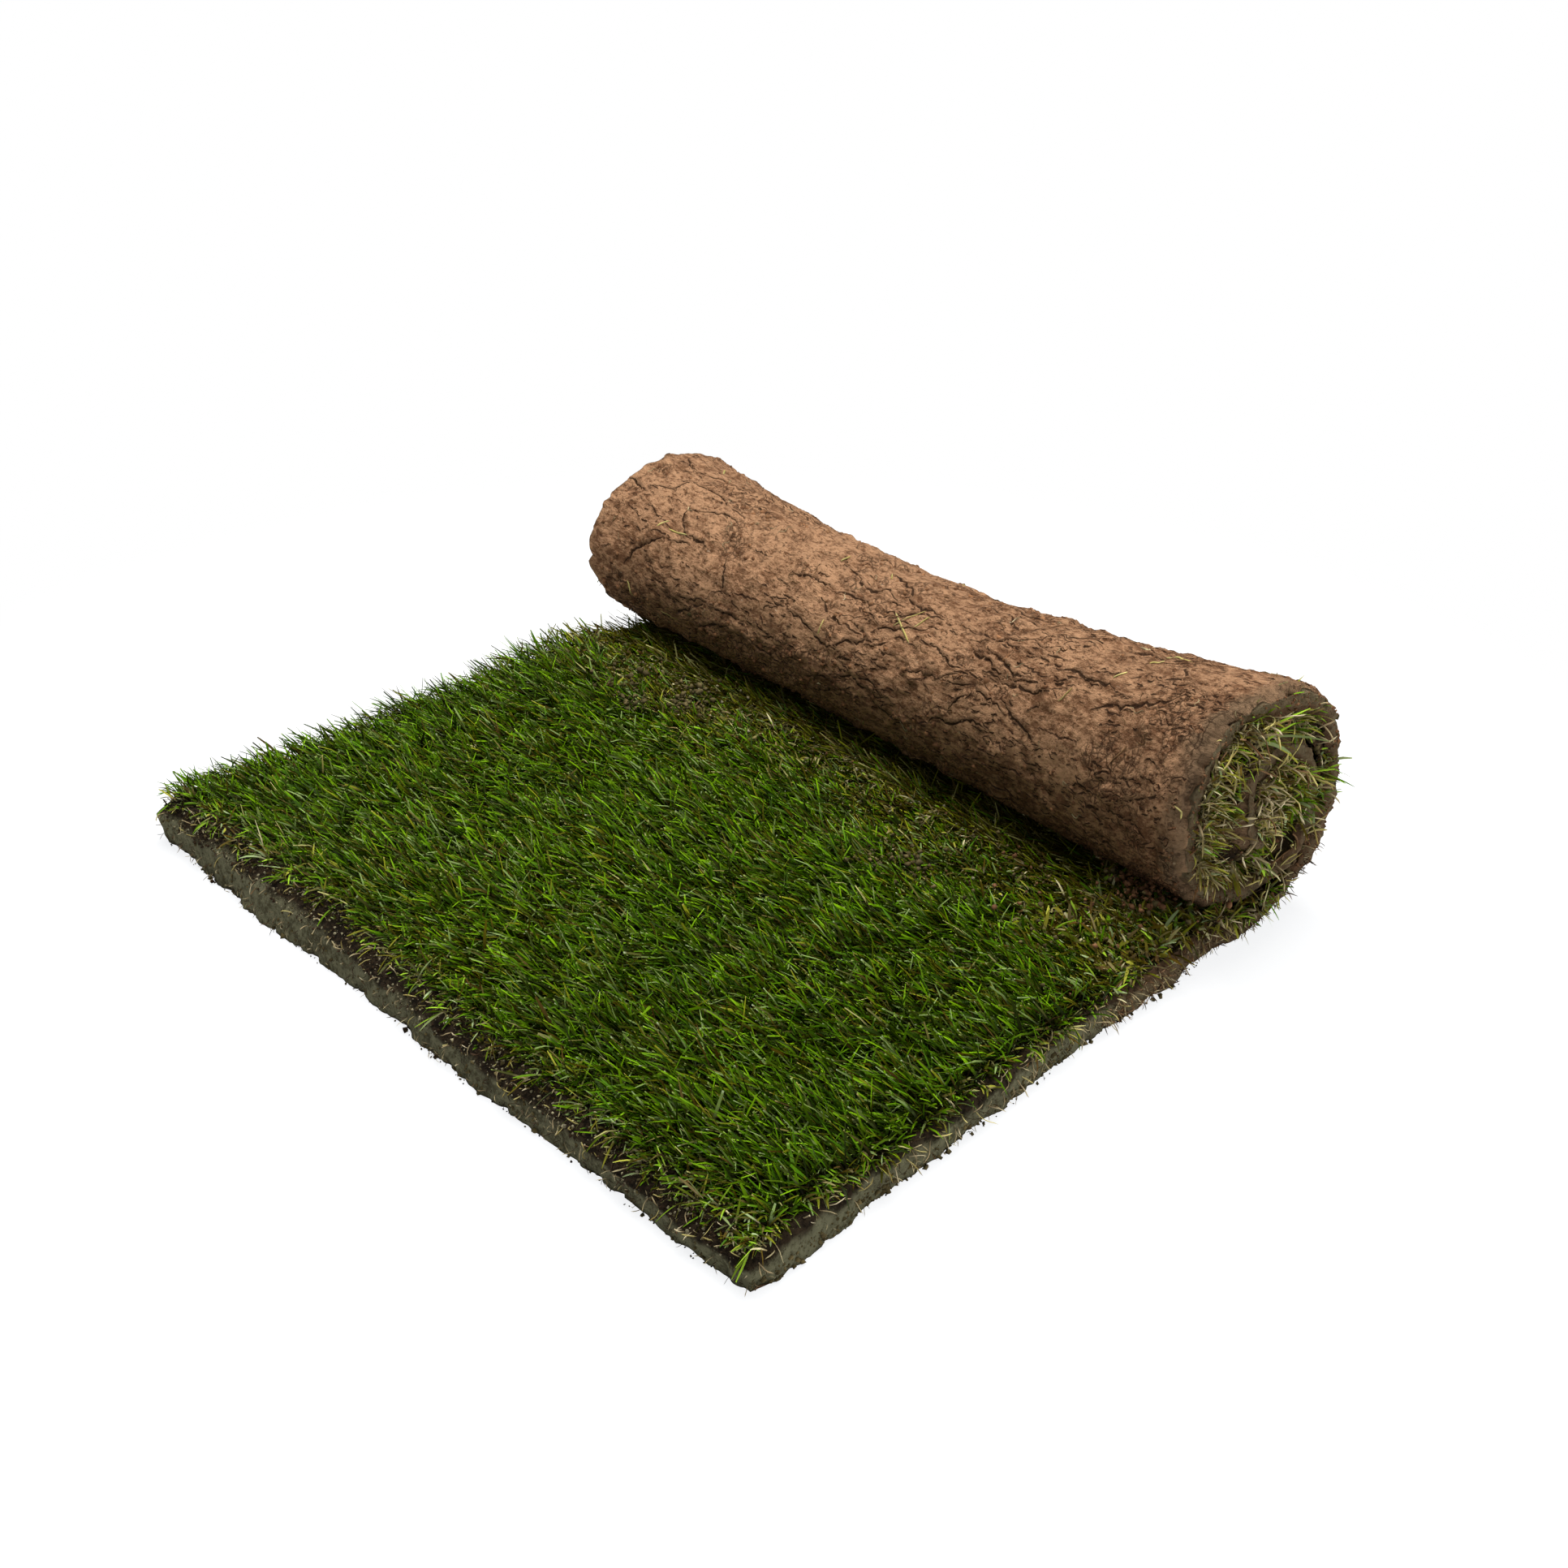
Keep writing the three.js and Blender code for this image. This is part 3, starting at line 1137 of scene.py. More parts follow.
@dataclass(frozen=True)
class SoilRelief:
    """Relief of the soil in mm: plates and cracks outside the coil, broken faces at its cuts.

    A hollow or a bump is given by its run, its place across, its reach and its depth or height.
    """

    plate: tuple[float, float] = (21.0, 34.0)
    hollows: tuple[tuple[float, ...], ...] = (
        (757.0, 169.0, 17.0, 4.0),
        (724.0, 125.0, 9.0, 4.5),
        (772.0, -121.0, 12.0, 2.5),
        (746.0, 88.0, 8.0, 2.0),
        (756.0, 292.0, 9.0, 3.0),
        (730.0, 288.0, 9.0, 3.0),
    )
    bumps: tuple[tuple[float, ...], ...] = (
        (790.0, -49.0, 6.0, 3.2),
        (763.0, -157.0, 6.0, 3.0),
        (810.0, -230.0, 7.0, 3.5),
        (778.0, 250.0, 9.0, 2.5),
        (720.0, 95.0, 55.0, 3.0),
        (712.0, -150.0, 40.0, 3.0),
    )
    clod_spacing: float = 47.0
    clod_height: float = 2.4
    edge_reach: float = 10.0
    edge_rough: float = 1.6

    def outside(self, run: Array, y: Array) -> dict[str, Array]:
        """The underside as winding has opened it.

        Plates are cells of a warped lattice, long across the strip, each a little higher, lower or
        tilted where the skin has opened. Clods are domes at scattered centres, hollows and bumps
        are named places, and layered noise roughens the whole.

        Args:
            run: length along the strip.
            y: place across it.

        Returns:
            height (outwards), crack (how crumbled, 0 to 1) and tone (0 to 1).
        """
        flat = places(run, y)
        warp = places(layered(flat, 24.0, 3), layered(flat + 300.0, 24.0, 4))
        fine_warp = places(noise(flat, 5.0, 5), noise(flat + 90.0, 5.0, 6))
        large = plates(flat + 9.0 * warp + 1.6 * fine_warp, self.plate, 11)
        opened = smoothstep(noise(flat, 46.0, 21) + 0.6 * noise(flat, 17.0, 22), -0.25, 0.55)
        low = 0.45 * smoothstep(run, 790.0, 850.0) + 0.4 * smoothstep(-y, 60.0, 200.0)
        crumbled = smoothstep(noise(flat, 44.0, 23) + 0.6 * noise(flat, 13.0, 24) + low, 0.35, 0.95)
        clods = plates(flat + 4.0 * warp, (self.clod_spacing, self.clod_spacing), 14)
        size = 5.0 + 5.0 * clods.ident
        dome = np.clip(1.0 - (clods.centre / size) ** 2, 0.0, 1.0) ** 0.6 * (clods.ident > 0.3)
        aim = 40.0 * large.ident
        tilt = large.offset[..., 0] * np.cos(aim) + large.offset[..., 1] * np.sin(aim)
        height = (1.3 * (large.ident - 0.5) + 0.05 * tilt) * opened + self.clod_height * dome
        height = height + 1.2 * layered(flat, 34.0, 31, 2)
        height = height + (1.1 + 0.9 * crumbled) * layered(flat, 8.0, 33, 3)
        height = height + 0.9 * smoothstep(run, 785.0, 830.0) * layered(flat, 4.6, 34, 2)
        for named, sign in ((self.hollows, -1.0), (self.bumps, 1.0)):
            for place_run, place_y, reach, amount in named:
                away = np.hypot(run - place_run, (y - place_y) * 0.8) / reach
                shape = fall(away + 0.3 * noise(flat, 7.0, 45), 0.3, 1.0)
                height = height + sign * amount * shape
                crumbled = np.maximum(crumbled, shape * (sign < 0.0))
        tone = self.outside_tone(run, y) + 0.15 * dome
        return {"height": height, "crack": crumbled, "tone": np.clip(tone, 0.0, 1.0)}

    def outside_tone(self, run: Array, y: Array) -> Array:
        """Light and dark patches of the underside, darker low down, at the right and at the far left.

        Args:
            run: length along the strip.
            y: place across it.

        Returns:
            The tone, about 0.5.
        """
        flat = places(run, y)
        tone = 0.5 + 0.3 * layered(flat, 50.0, 41, 2) + 0.1 * layered(flat, 12.0, 44, 2)
        tone = tone - 0.28 * smoothstep(-y, 60.0, 260.0)
        tone = tone - 0.4 * smoothstep(y, 200.0, 280.0) * smoothstep(run, 750.0, 790.0)
        tone = tone + 0.2 * smoothstep(-y, -60.0, 60.0) * smoothstep(run, 770.0, 790.0)
        # painted shade: darker low on the coil, most on its right half, where it turns down towards the
        # ground
        return tone - 0.8 * smoothstep(-y, -80.0, 100.0) * smoothstep(run, 795.0, 840.0)

    def cut(self, run: Array, y: Array, depth: Array, level: Array) -> dict[str, Array]:
        """A knife-cut face: smeared clay below, crumbling rooty soil above, chips off its foot.

        Args:
            run: length along the strip.
            y: place across it.
            depth: height above the underside.
            level: the same as a share of the thickness.

        Returns:
            height (outwards), crack, tone and rooty, each but the first from 0 to 1.
        """
        place = places(run, y, depth)
        streak = place * np.array([1.0, 1.0, 0.45])
        upright = place * np.array([1.0, 1.0, 0.0])
        start = 0.5 + 0.14 * np.maximum(smoothstep(y, -60.0, 200.0), smoothstep(run, 4.0, 24.0))
        rooty = smoothstep(level + 0.1 * noise(place, 14.0, 53) - start, 0.0, 0.16)
        torn = smoothstep(noise(upright, 13.0, 55), -0.1, 0.6)
        chips = smoothstep(noise(upright, 6.0, 60), 0.2, 0.8)
        foot = fall(level, 0.02, 0.3)
        height = 1.3 * layered(streak, 34.0, 51, 2) + 1.0 * layered(streak, 9.0, 52, 3)
        height = height + rooty * self.edge_rough * layered(place, 5.0, 54, 3)
        height = height - (1.8 * torn + 1.5 * chips) * foot + 0.6 * noise(place, 2.6, 56)
        crack = smoothstep(-layered(place, 7.0, 57, 3), 0.15, 0.6) * (0.35 + 0.65 * rooty)
        crack = np.clip(0.8 * crack + 0.3 * torn * foot, 0.0, 1.0)
        tone = 0.5 + 0.4 * layered(streak, 26.0, 58, 3) + 0.2 * noise(place, 3.0, 59)
        return {"height": height, "crack": crack, "tone": np.clip(tone, 0.0, 1.0), "rooty": rooty}


def end_lift(run: Array, y: Array) -> Array:
    """How much thicker the soil stands near its cut end, in mm: more towards the left corner."""
    return np.interp(y, [-300.0, -150.0, 0.0, 150.0], [0.0, 2.0, 4.0, 9.0]) * fall(run, 0.0, 90.0)


def end_lean(y: Array) -> Array:
    """How far the top of the cut end leans back over the strip, in mm; the left corner flares out."""
    at = [-300.0, -150.0, 0.0, 150.0, 230.0, 275.0, 305.0]
    return np.interp(y, at, [-2.0, 2.0, 5.0, 9.0, 8.0, 0.0, -10.0])


@dataclass
class SoilMat:
    """The soil: one body of sheets whose shared edges have the same corners."""

    form: StripForm
    shop: Workshop
    relief: SoilRelief = SoilRelief()
    step: float = 2.1
    inner_step: float = 3.0
    fine_across: int = 300
    front_set_back: float = 17.0
    border: float = 14.0
    end_rows: tuple[int, int, float] = (22, 18, 3.5)  # rows of the cut end, those up its face, mm past it
    filling_grid: tuple[int, int] = (320, 12)

    def evenly(self, low: float, high: float, step: float) -> Array:
        """Stations between two lengths of strip, about a step apart."""
        return self.form.station_at(np.linspace(low, high, round((high - low) / step) + 1))

    @cached_property
    def flat_stations(self) -> Array:
        """Stations from the cut end to where the underside leaves the ground."""
        return self.evenly(0.0, self.form.run(self.form.coil_start), self.step)

    @cached_property
    def outer_stations(self) -> Array:
        """Stations of the coil's outside, to a little past the first turn."""
        return self.evenly(*self.form.run(self.form.wound_station(np.array([0.0, 1.07]))), self.step)

    @cached_property
    def inner_stations(self) -> Array:
        """Stations of the turns inside the coil."""
        ends = np.array([self.outer_stations[-1], self.form.last])
        return self.evenly(*self.form.run(ends), self.inner_step)

    @cached_property
    def stations(self) -> Array:
        """Every station, once."""
        return np.concatenate([self.flat_stations, self.outer_stations[1:], self.inner_stations[1:]])

    @property
    def shares(self) -> Array:
        """Shares across for hidden faces: close together only near the cut edges."""
        near = np.linspace(0.0, 0.03, 7)
        return np.concatenate([near, np.linspace(0.07, 0.93, 13), 1.0 - near[::-1]])

    @property
    def levels(self) -> Array:
        """Levels of the cut faces, from the underside to the thatch."""
        return np.array([0.0, 0.05, 0.12, 0.2, 0.29, 0.38, 0.47, 0.56, 0.64, 0.72, 0.8, 0.88, 0.95, 1.0])

    def surface(self, station: Array, share: Array, level: Array) -> tuple[Array, dict[str, Array]]:
        """The soil's roughened surface at places.

        The plain point is moved along the strip's own three directions, by the relief that
        belongs to each: the underside's fades out up the cut faces, and the cut's own fades
        in within edge_reach of a cut, so that neighbouring sheets meet.

        Args:
            station, share, level: arrays that broadcast to one shape.

        Returns:
            Points of that shape, and the numbers that the finish reads there.
        """
        form, reach = self.form, self.relief.edge_reach
        station, share, level = np.broadcast_arrays(station, share, level)
        along, across, inward = form.directions(station, share, level)
        run, t = form.run(station), form.turn(station)
        y = (share - 0.5) * form.width
        depth = level * form.soil_flat
        outer = self.relief.outside(run, y)
        cut = self.relief.cut(run, y, depth, level)
        wound = smoothstep(t, 0.0, 0.12)
        right = fall(share * form.width, 0.0, reach)
        left = fall((1.0 - share) * form.width, 0.0, reach)
        end = fall(run, 0.0, reach)
        low = fall(level, 0.0, 0.35)
        sunk = (self.rolled_margin(run, share, t) - outer["height"] * wound) * low
        sunk = sunk + smoothstep(level, 0.8, 1.0) * 1.3 * layered(places(run, y, depth), 11.0, 61, 2)
        torn = 1.0 + 1.6 * right * smoothstep(t, 0.0, 0.2)
        points = form.point(station, share, level) + inward * sunk[..., None]
        points = points + across * (cut["height"] * torn * (left - right))[..., None]
        points = points - along * (cut["height"] * end)[..., None]
        points = points + self.handled(run, share, level, t, right * (1.0 - wound))
        points[..., 2] = np.maximum(points[..., 2], 0.0)
        face = np.clip(np.maximum(np.maximum(right, left), end), 0.0, 1.0)
        # painted shade: a dark line along the foot of the cut faces, a contact shadow drawn with the crack
        # colour
        rim = 0.8 * face * (level < 0.005) * (1.0 - wound)
        below = np.where(level < 0.02, outer["crack"] * wound, 0.0)
        marks = {
            "crack": below * (1.0 - face) + cut["crack"] * face + rim,
            # painted light: the right cut face is lifted by 0.35 in tone, for light falling on it from the
            # right
            "tone": outer["tone"] * (1.0 - face) + np.clip(cut["tone"] + 0.35 * right, 0.0, 1.0) * face,
            "rooty": cut["rooty"],
            "smear": self.smear(run, share, level, t),
            "run": run * MM,
            "side": y * MM,
        }
        return points, marks

    def handled(self, run: Array, share: Array, level: Array, t: Array, flat_right: Array) -> Array:
        """How far cutting and handling moved the strip from its plain form.

        The cut end leans and stands thicker, its left corner is bevelled, the right edge swells at
        its foot near the cut end, and winding pushed the coil's sides along.

        Args:
            run, share, level, t: length along the strip, share across, level and turns.
            flat_right: how near the right edge of the flat length, 0 to 1.

        Returns:
            Moves along X, Y and Z in mm.
        """
        y = (share - 0.5) * self.form.width
        bevel = 4.0 * smoothstep(level, -0.1, 0.7) * smoothstep(y, 288.0, 306.0) * fall(run, 0.0, 16.0)
        swell = 6.0 * smoothstep(run, 4.0, 22.0) * fall(run, 70.0, 100.0) * flat_right
        ahead = end_lean(y) * level * fall(run, 0.0, 60.0) + bevel
        side = self.side_shift(share, t) - bevel - swell * (1.0 - 0.6 * level)
        return places(ahead, side, end_lift(run, y) * level)

    def set_back(self, t: Array) -> Array:
        """How far the coil's front margin at its right end is set back."""
        return self.front_set_back * smoothstep(t, 0.47, 0.62) * fall(t, 1.0, 1.12)

    def side_shift(self, share: Array, t: Array) -> Array:
        """How far winding has pushed the coil's sides along Y: its right end flush, its left end bulged.

        Args:
            share: share across the strip.
            t: turns wound.

        Returns:
            The move in mm, fading out towards mid-width.
        """
        form = self.form
        wound = np.maximum(t, 0.0)
        flush = self.set_back(t) - form.flush_per_turn * wound
        at = [0.4, 0.58, 0.67, 0.73, 0.79, 0.88, 1.0]
        bulge = np.interp(t, at, [0.0, 0.0, 9.0, 3.0, -5.0, -13.0, -6.0])
        for depth, turn, reach in ((5.0, 0.725, 0.02), (4.0, 0.615, 0.012)):
            bulge = bulge - depth * smoothstep(-np.abs(t - turn), -reach, 0.0)
        ragged = layered(places(form.run(form.wound_station(wound)), 0.0), 11.0, 76, 3)
        bulge = bulge + 2.5 * ragged * smoothstep(t, 0.3, 0.5)
        flush = flush * fall(share * form.width, 0.0, 80.0)
        return flush + bulge * fall((1.0 - share) * form.width, 0.0, 45.0)

    def rolled_margin(self, run: Array, share: Array, t: Array) -> Array:
        """How far the outside bends in beside the coil's right cut edge, which handling rounded.

        Args:
            run: length along the strip.
            share: share across it.
            t: turns wound.

        Returns:
            The depth in mm, growing as the square of the nearness to a ragged line.
        """
        from_edge = share * self.form.width
        ragged = 4.0 * layered(places(run, from_edge), 16.0, 72, 3)
        near = np.clip(1.0 - (from_edge + ragged) / 11.0, 0.0, 1.2)
        return 7.0 * near**2 * smoothstep(t, 0.2, 0.45)

    def smear(self, run: Array, share: Array, level: Array, t: Array) -> Array:
        """The greyish margin that the knife smeared on the outside, and the brown of the coil's cuts.

        Args:
            run, share, level, t: length along the strip, share across, level and turns.

        Returns:
            The share of the smear colour.
        """
        from_edge = share * self.form.width
        ragged = 12.0 * layered(places(run, from_edge), 24.0, 71, 3)
        margin = 0.75 * fall(from_edge + ragged, 5.0, 22.0) * smoothstep(t, 0.3, 0.5)
        patches = layered(places(run, 24.0 * level), 9.0, 73, 3)
        brown = (0.62 + 0.35 * patches) * smoothstep(run, 290.0, 420.0)
        return np.where((share < 0.001) | (share > 0.999), brown, margin)

    @cached_property
    def filling(self) -> Shell:
        """Matted thatch and soil that the turns press together at the coil's right end, nearly flush.

        Each row goes from the sward side of one turn to the underside of the next, or to the
        coil's heart; layered noise makes it lumpy.

        Returns:
            The sheet.
        """
        form = self.form
        rows, columns = self.filling_grid
        station = np.linspace(form.coil_start - 3.0, form.last, rows)[:, None]
        t = form.turn(station)
        wound = np.maximum(t, 0.0)
        near = form.point(station, 0.004, 1.0)
        following = form.point(np.minimum(station + form.per_turn, form.last), 0.004, 0.0)
        u = form.u(near[..., 1])
        heart_x, heart_z = form.coil_point(wound, u, form.spiral_radius(wound, u))
        heart = places(heart_x - form.flat_length / 2.0, near[..., 1], heart_z)
        inside = t + 1.0 < form.turns
        part = np.linspace(0.0, 1.0, columns)
        points = near + (np.where(inside[..., None], following, heart) - near) * part[:, None]
        flat = points[..., [0, 2]]
        lumpy = 2.5 + 5.0 * layered(flat, 24.0, 75, 2) + 3.5 * layered(flat, 8.0, 77, 3)
        later = wound + np.where(inside, part, 0.0)
        points[..., 1] += lumpy - form.flush_per_turn * later + 0.9 * self.set_back(t) * (1.0 - part)
        marks = {
            "tone": np.clip(0.5 + 0.5 * layered(flat, 20.0, 78, 3), 0.0, 1.0),
            "crack": smoothstep(-layered(flat, 9.0, 79, 3), 0.1, 0.6),
        }
        return Shell.of(points, grid_faces(rows, columns, True), grid_map(rows, columns), marks)

    def build(self) -> None:
        """Makes the sheets: the coil's outside, the undersides, the thatch and the four cut faces."""
        form = self.form
        fine = np.linspace(0.0, 1.0, self.fine_across + 1)
        border = form.station_at(np.array([0.0, self.border]))
        flat = np.append(border[1], self.flat_stations[self.flat_stations > border[1]])
        count, up_face, past = self.end_rows
        row = np.arange(count)[:, None]
        back = form.station_at(np.maximum(row - up_face, 0) * past)
        rise = np.minimum(row / up_face, 1.0)
        every, heights = self.stations[:, None], self.levels[:, None]
        sheets = (
            ("coil_outside", self.outer_stations[:, None], fine, 0.0, True, DRY_EARTH),
            ("underside_border", border[:, None], fine, 0.0, True, DRY_EARTH),
            ("flat_underside", flat[:, None], self.shares, 0.0, True, DRY_EARTH),
            ("inner_turn_underside", self.inner_stations[:, None], self.shares, 0.0, True, DRY_EARTH),
            ("thatch", every, self.shares, 1.0, False, THATCH),
            ("right_cut_edge", every, 0.0, self.levels, False, CUT_EARTH),
            ("left_cut_edge", every, 1.0, self.levels, True, CUT_EARTH),
            ("cut_end_face", back, fine, rise, True, CUT_EARTH),
            ("inner_end_face", form.last, self.shares, heights, False, CUT_EARTH),
        )
        for name, station, share, level, turned, finish in sheets:
            points, marks = self.surface(station, share, level)
            size = points.shape[:2]
            shell = Shell.of(points, grid_faces(*size, turned), grid_map(*size), marks)
            self.shop.place(name, shell, finish)
        self.shop.place("right_end_filling", self.filling, MATTED)


# ------------------------------------------------------------------ blades


def repeated(faces: Array, corners: int, count: int) -> Array:
    """The faces of one thing with so many corners, for each of a number of like things."""
    return faces + corners * np.arange(count)[:, None, None]


@dataclass
class Blades:
    """A lot of blades: arrays of one value a blade, in mm and radians."""

    root: Array
    length: Array
    width: Array
    heading: Array  # direction over the ground, from +X towards +Y
    rise_foot: Array  # slope at the foot, from the ground
    rise_tip: Array  # slope at the tip
    roll: Array
    column: Array
    blunt: Array  # width of the tip as a share of the widest
    sections: int = 4
    bright: float = 1.0  # share of its palette column that a blade reaches

    def pick(self, chosen: Array) -> "Blades":
        """The blades that a mask or index chooses."""
        arrays = {name: value[chosen] for name, value in vars(self).items() if isinstance(value, Array)}
        return replace(self, **arrays)

    def ribbons(self) -> Shell:
        """Open ribbons, one a blade.

        Each runs from its root in short straight steps. The slope goes evenly from foot to tip and
        the heading drifts a little; the ribbon's width lies across the step, turned by the roll.

        Returns:
            A shell whose map puts each blade in its palette column, foot to tip.
        """
        mark = np.linspace(0.0, 1.0, self.sections)
        turn = 0.25 * np.sin(self.column * 37.0)[:, None]
        slope = self.rise_foot[:, None] + (self.rise_tip - self.rise_foot)[:, None] * mark
        heading = self.heading[:, None] + turn * mark
        roll = (self.roll[:, None] + 0.5 * turn * mark)[..., None]
        level = np.cos(slope)
        step = places(level * np.cos(heading), level * np.sin(heading), np.sin(slope))
        beside = places(np.sin(heading), -np.cos(heading), 0.0)
        wide = np.cos(roll) * beside + np.sin(roll) * np.cross(beside, step)
        shape = 0.55 + 0.45 * np.minimum(1.0, mark / 0.4)
        shape = np.where(mark < 0.7, shape, shape + (self.blunt[:, None] - shape) * (mark - 0.7) / 0.3)
        half = (0.5 * self.width[:, None] * shape)[..., None] * wide
        moves = step * (self.length / (self.sections - 1))[:, None, None]
        moves[:, 0] = self.root
        centre = np.cumsum(moves, axis=1)
        points = np.stack([centre - half, centre + half], axis=2)
        points[..., 2] = np.maximum(points[..., 2], 0.3)
        pair = np.arange(2 * self.sections).reshape(self.sections, 2)
        faces = np.stack([pair[:-1, 0], pair[:-1, 1], pair[1:, 1], pair[1:, 0]], axis=-1)
        across = column_place(self.column[:, None, None], np.array([0.0, 1.0]))
        uv = places(across, self.bright * mark[:, None])
        return Shell.of(points, repeated(faces, pair.size, len(points)), uv)


class Kind(Enum):
    """Kinds of thing by their share of a palette's columns: blades, then threads, then lumps."""

    FRESH = (0.0, 0.62)
    BLUE = (0.62, 0.74)
    OLIVE = (0.74, 0.9)
    STRAW = (0.9, 1.0)
    PALE_ROOT = (0.0, 0.4)
    TAN_ROOT = (0.4, 0.7)
    GREEN_STEM = (0.7, 0.85)
    DARK_ROOT = (0.85, 0.9999)
    DRY_LUMP = (0.0, 0.4)
    CLAY_LUMP = (0.4, 0.7)
    DARK_LUMP = (0.7, 0.9)
    FLECK = (0.9, 0.9999)

    def columns(self, rng: Rng, count: int) -> Array:
        """Random columns of this kind.

        Args:
            rng: the source of chance.
            count: how many.

        Returns:
            One column each, from 0 to 1 across the palette.
        """
        low, high = self.value
        return low + (high - low) * 0.999 * rng.random(count)


def mixed_columns(rng: Rng, weights: dict[Kind, Array | float], count: int) -> Array:
    """Palette columns of mixed kinds.

    Args:
        rng: the source of chance.
        weights: how likely each kind is, one number or one for each thing.
        count: how many things.

    Returns:
        One column (0 to 1) for each.
    """
    table = np.stack([np.broadcast_to(weight, count) for weight in weights.values()])
    bounds = np.cumsum(table / table.sum(axis=0), axis=0)
    draw = rng.random(count)
    chosen = (draw[None, :] > bounds).sum(axis=0)
    columns = np.stack([kind.columns(rng, count) for kind in weights])
    return columns[np.minimum(chosen, len(weights) - 1), np.arange(count)]


@dataclass(frozen=True)
class TuftStyle:
    """What a lot of tufts is like."""

    each: int = 9  # blades in a tuft
    dry: float = 0.2  # weight of the straw-coloured ones
    reach: tuple[float, float] = (11.0, 29.0)  # least and greatest length in mm
    fan: float = 0.5  # how widely a tuft's blades spread
    broad: float = 1.0  # scales their widths


@dataclass(frozen=True)
class Sheaf:
    """A sheaf of blades at the coil's right end: its root, its aim and what its blades are like."""

    x: float
    z: float
    aim: tuple[float, float, float]
    longest: float
    blades: int
    dry: float


SHEAVES = (
    Sheaf(184.0, 162.0, (0.9, -0.3, 0.3), 44.0, 26, 0.5),
    Sheaf(172.0, 150.0, (-0.8, -0.4, -0.2), 30.0, 8, 5.0),
    Sheaf(205.0, 140.0, (0.75, -0.5, 0.1), 32.0, 22, 0.2),
    Sheaf(262.0, 128.0, (0.9, -0.3, 0.15), 24.0, 12, 0.4),
    Sheaf(165.0, 108.0, (0.1, -0.25, 0.9), 34.0, 9, 6.0),
    Sheaf(190.0, 100.0, (0.8, -0.5, 0.0), 28.0, 20, 0.4),
    Sheaf(235.0, 95.0, (0.75, -0.45, -0.35), 27.0, 20, 0.1),
    Sheaf(180.0, 72.0, (-0.2, -0.6, -0.3), 20.0, 14, 5.0),
    Sheaf(215.0, 60.0, (0.5, -0.5, -0.5), 24.0, 16, 0.2),
)


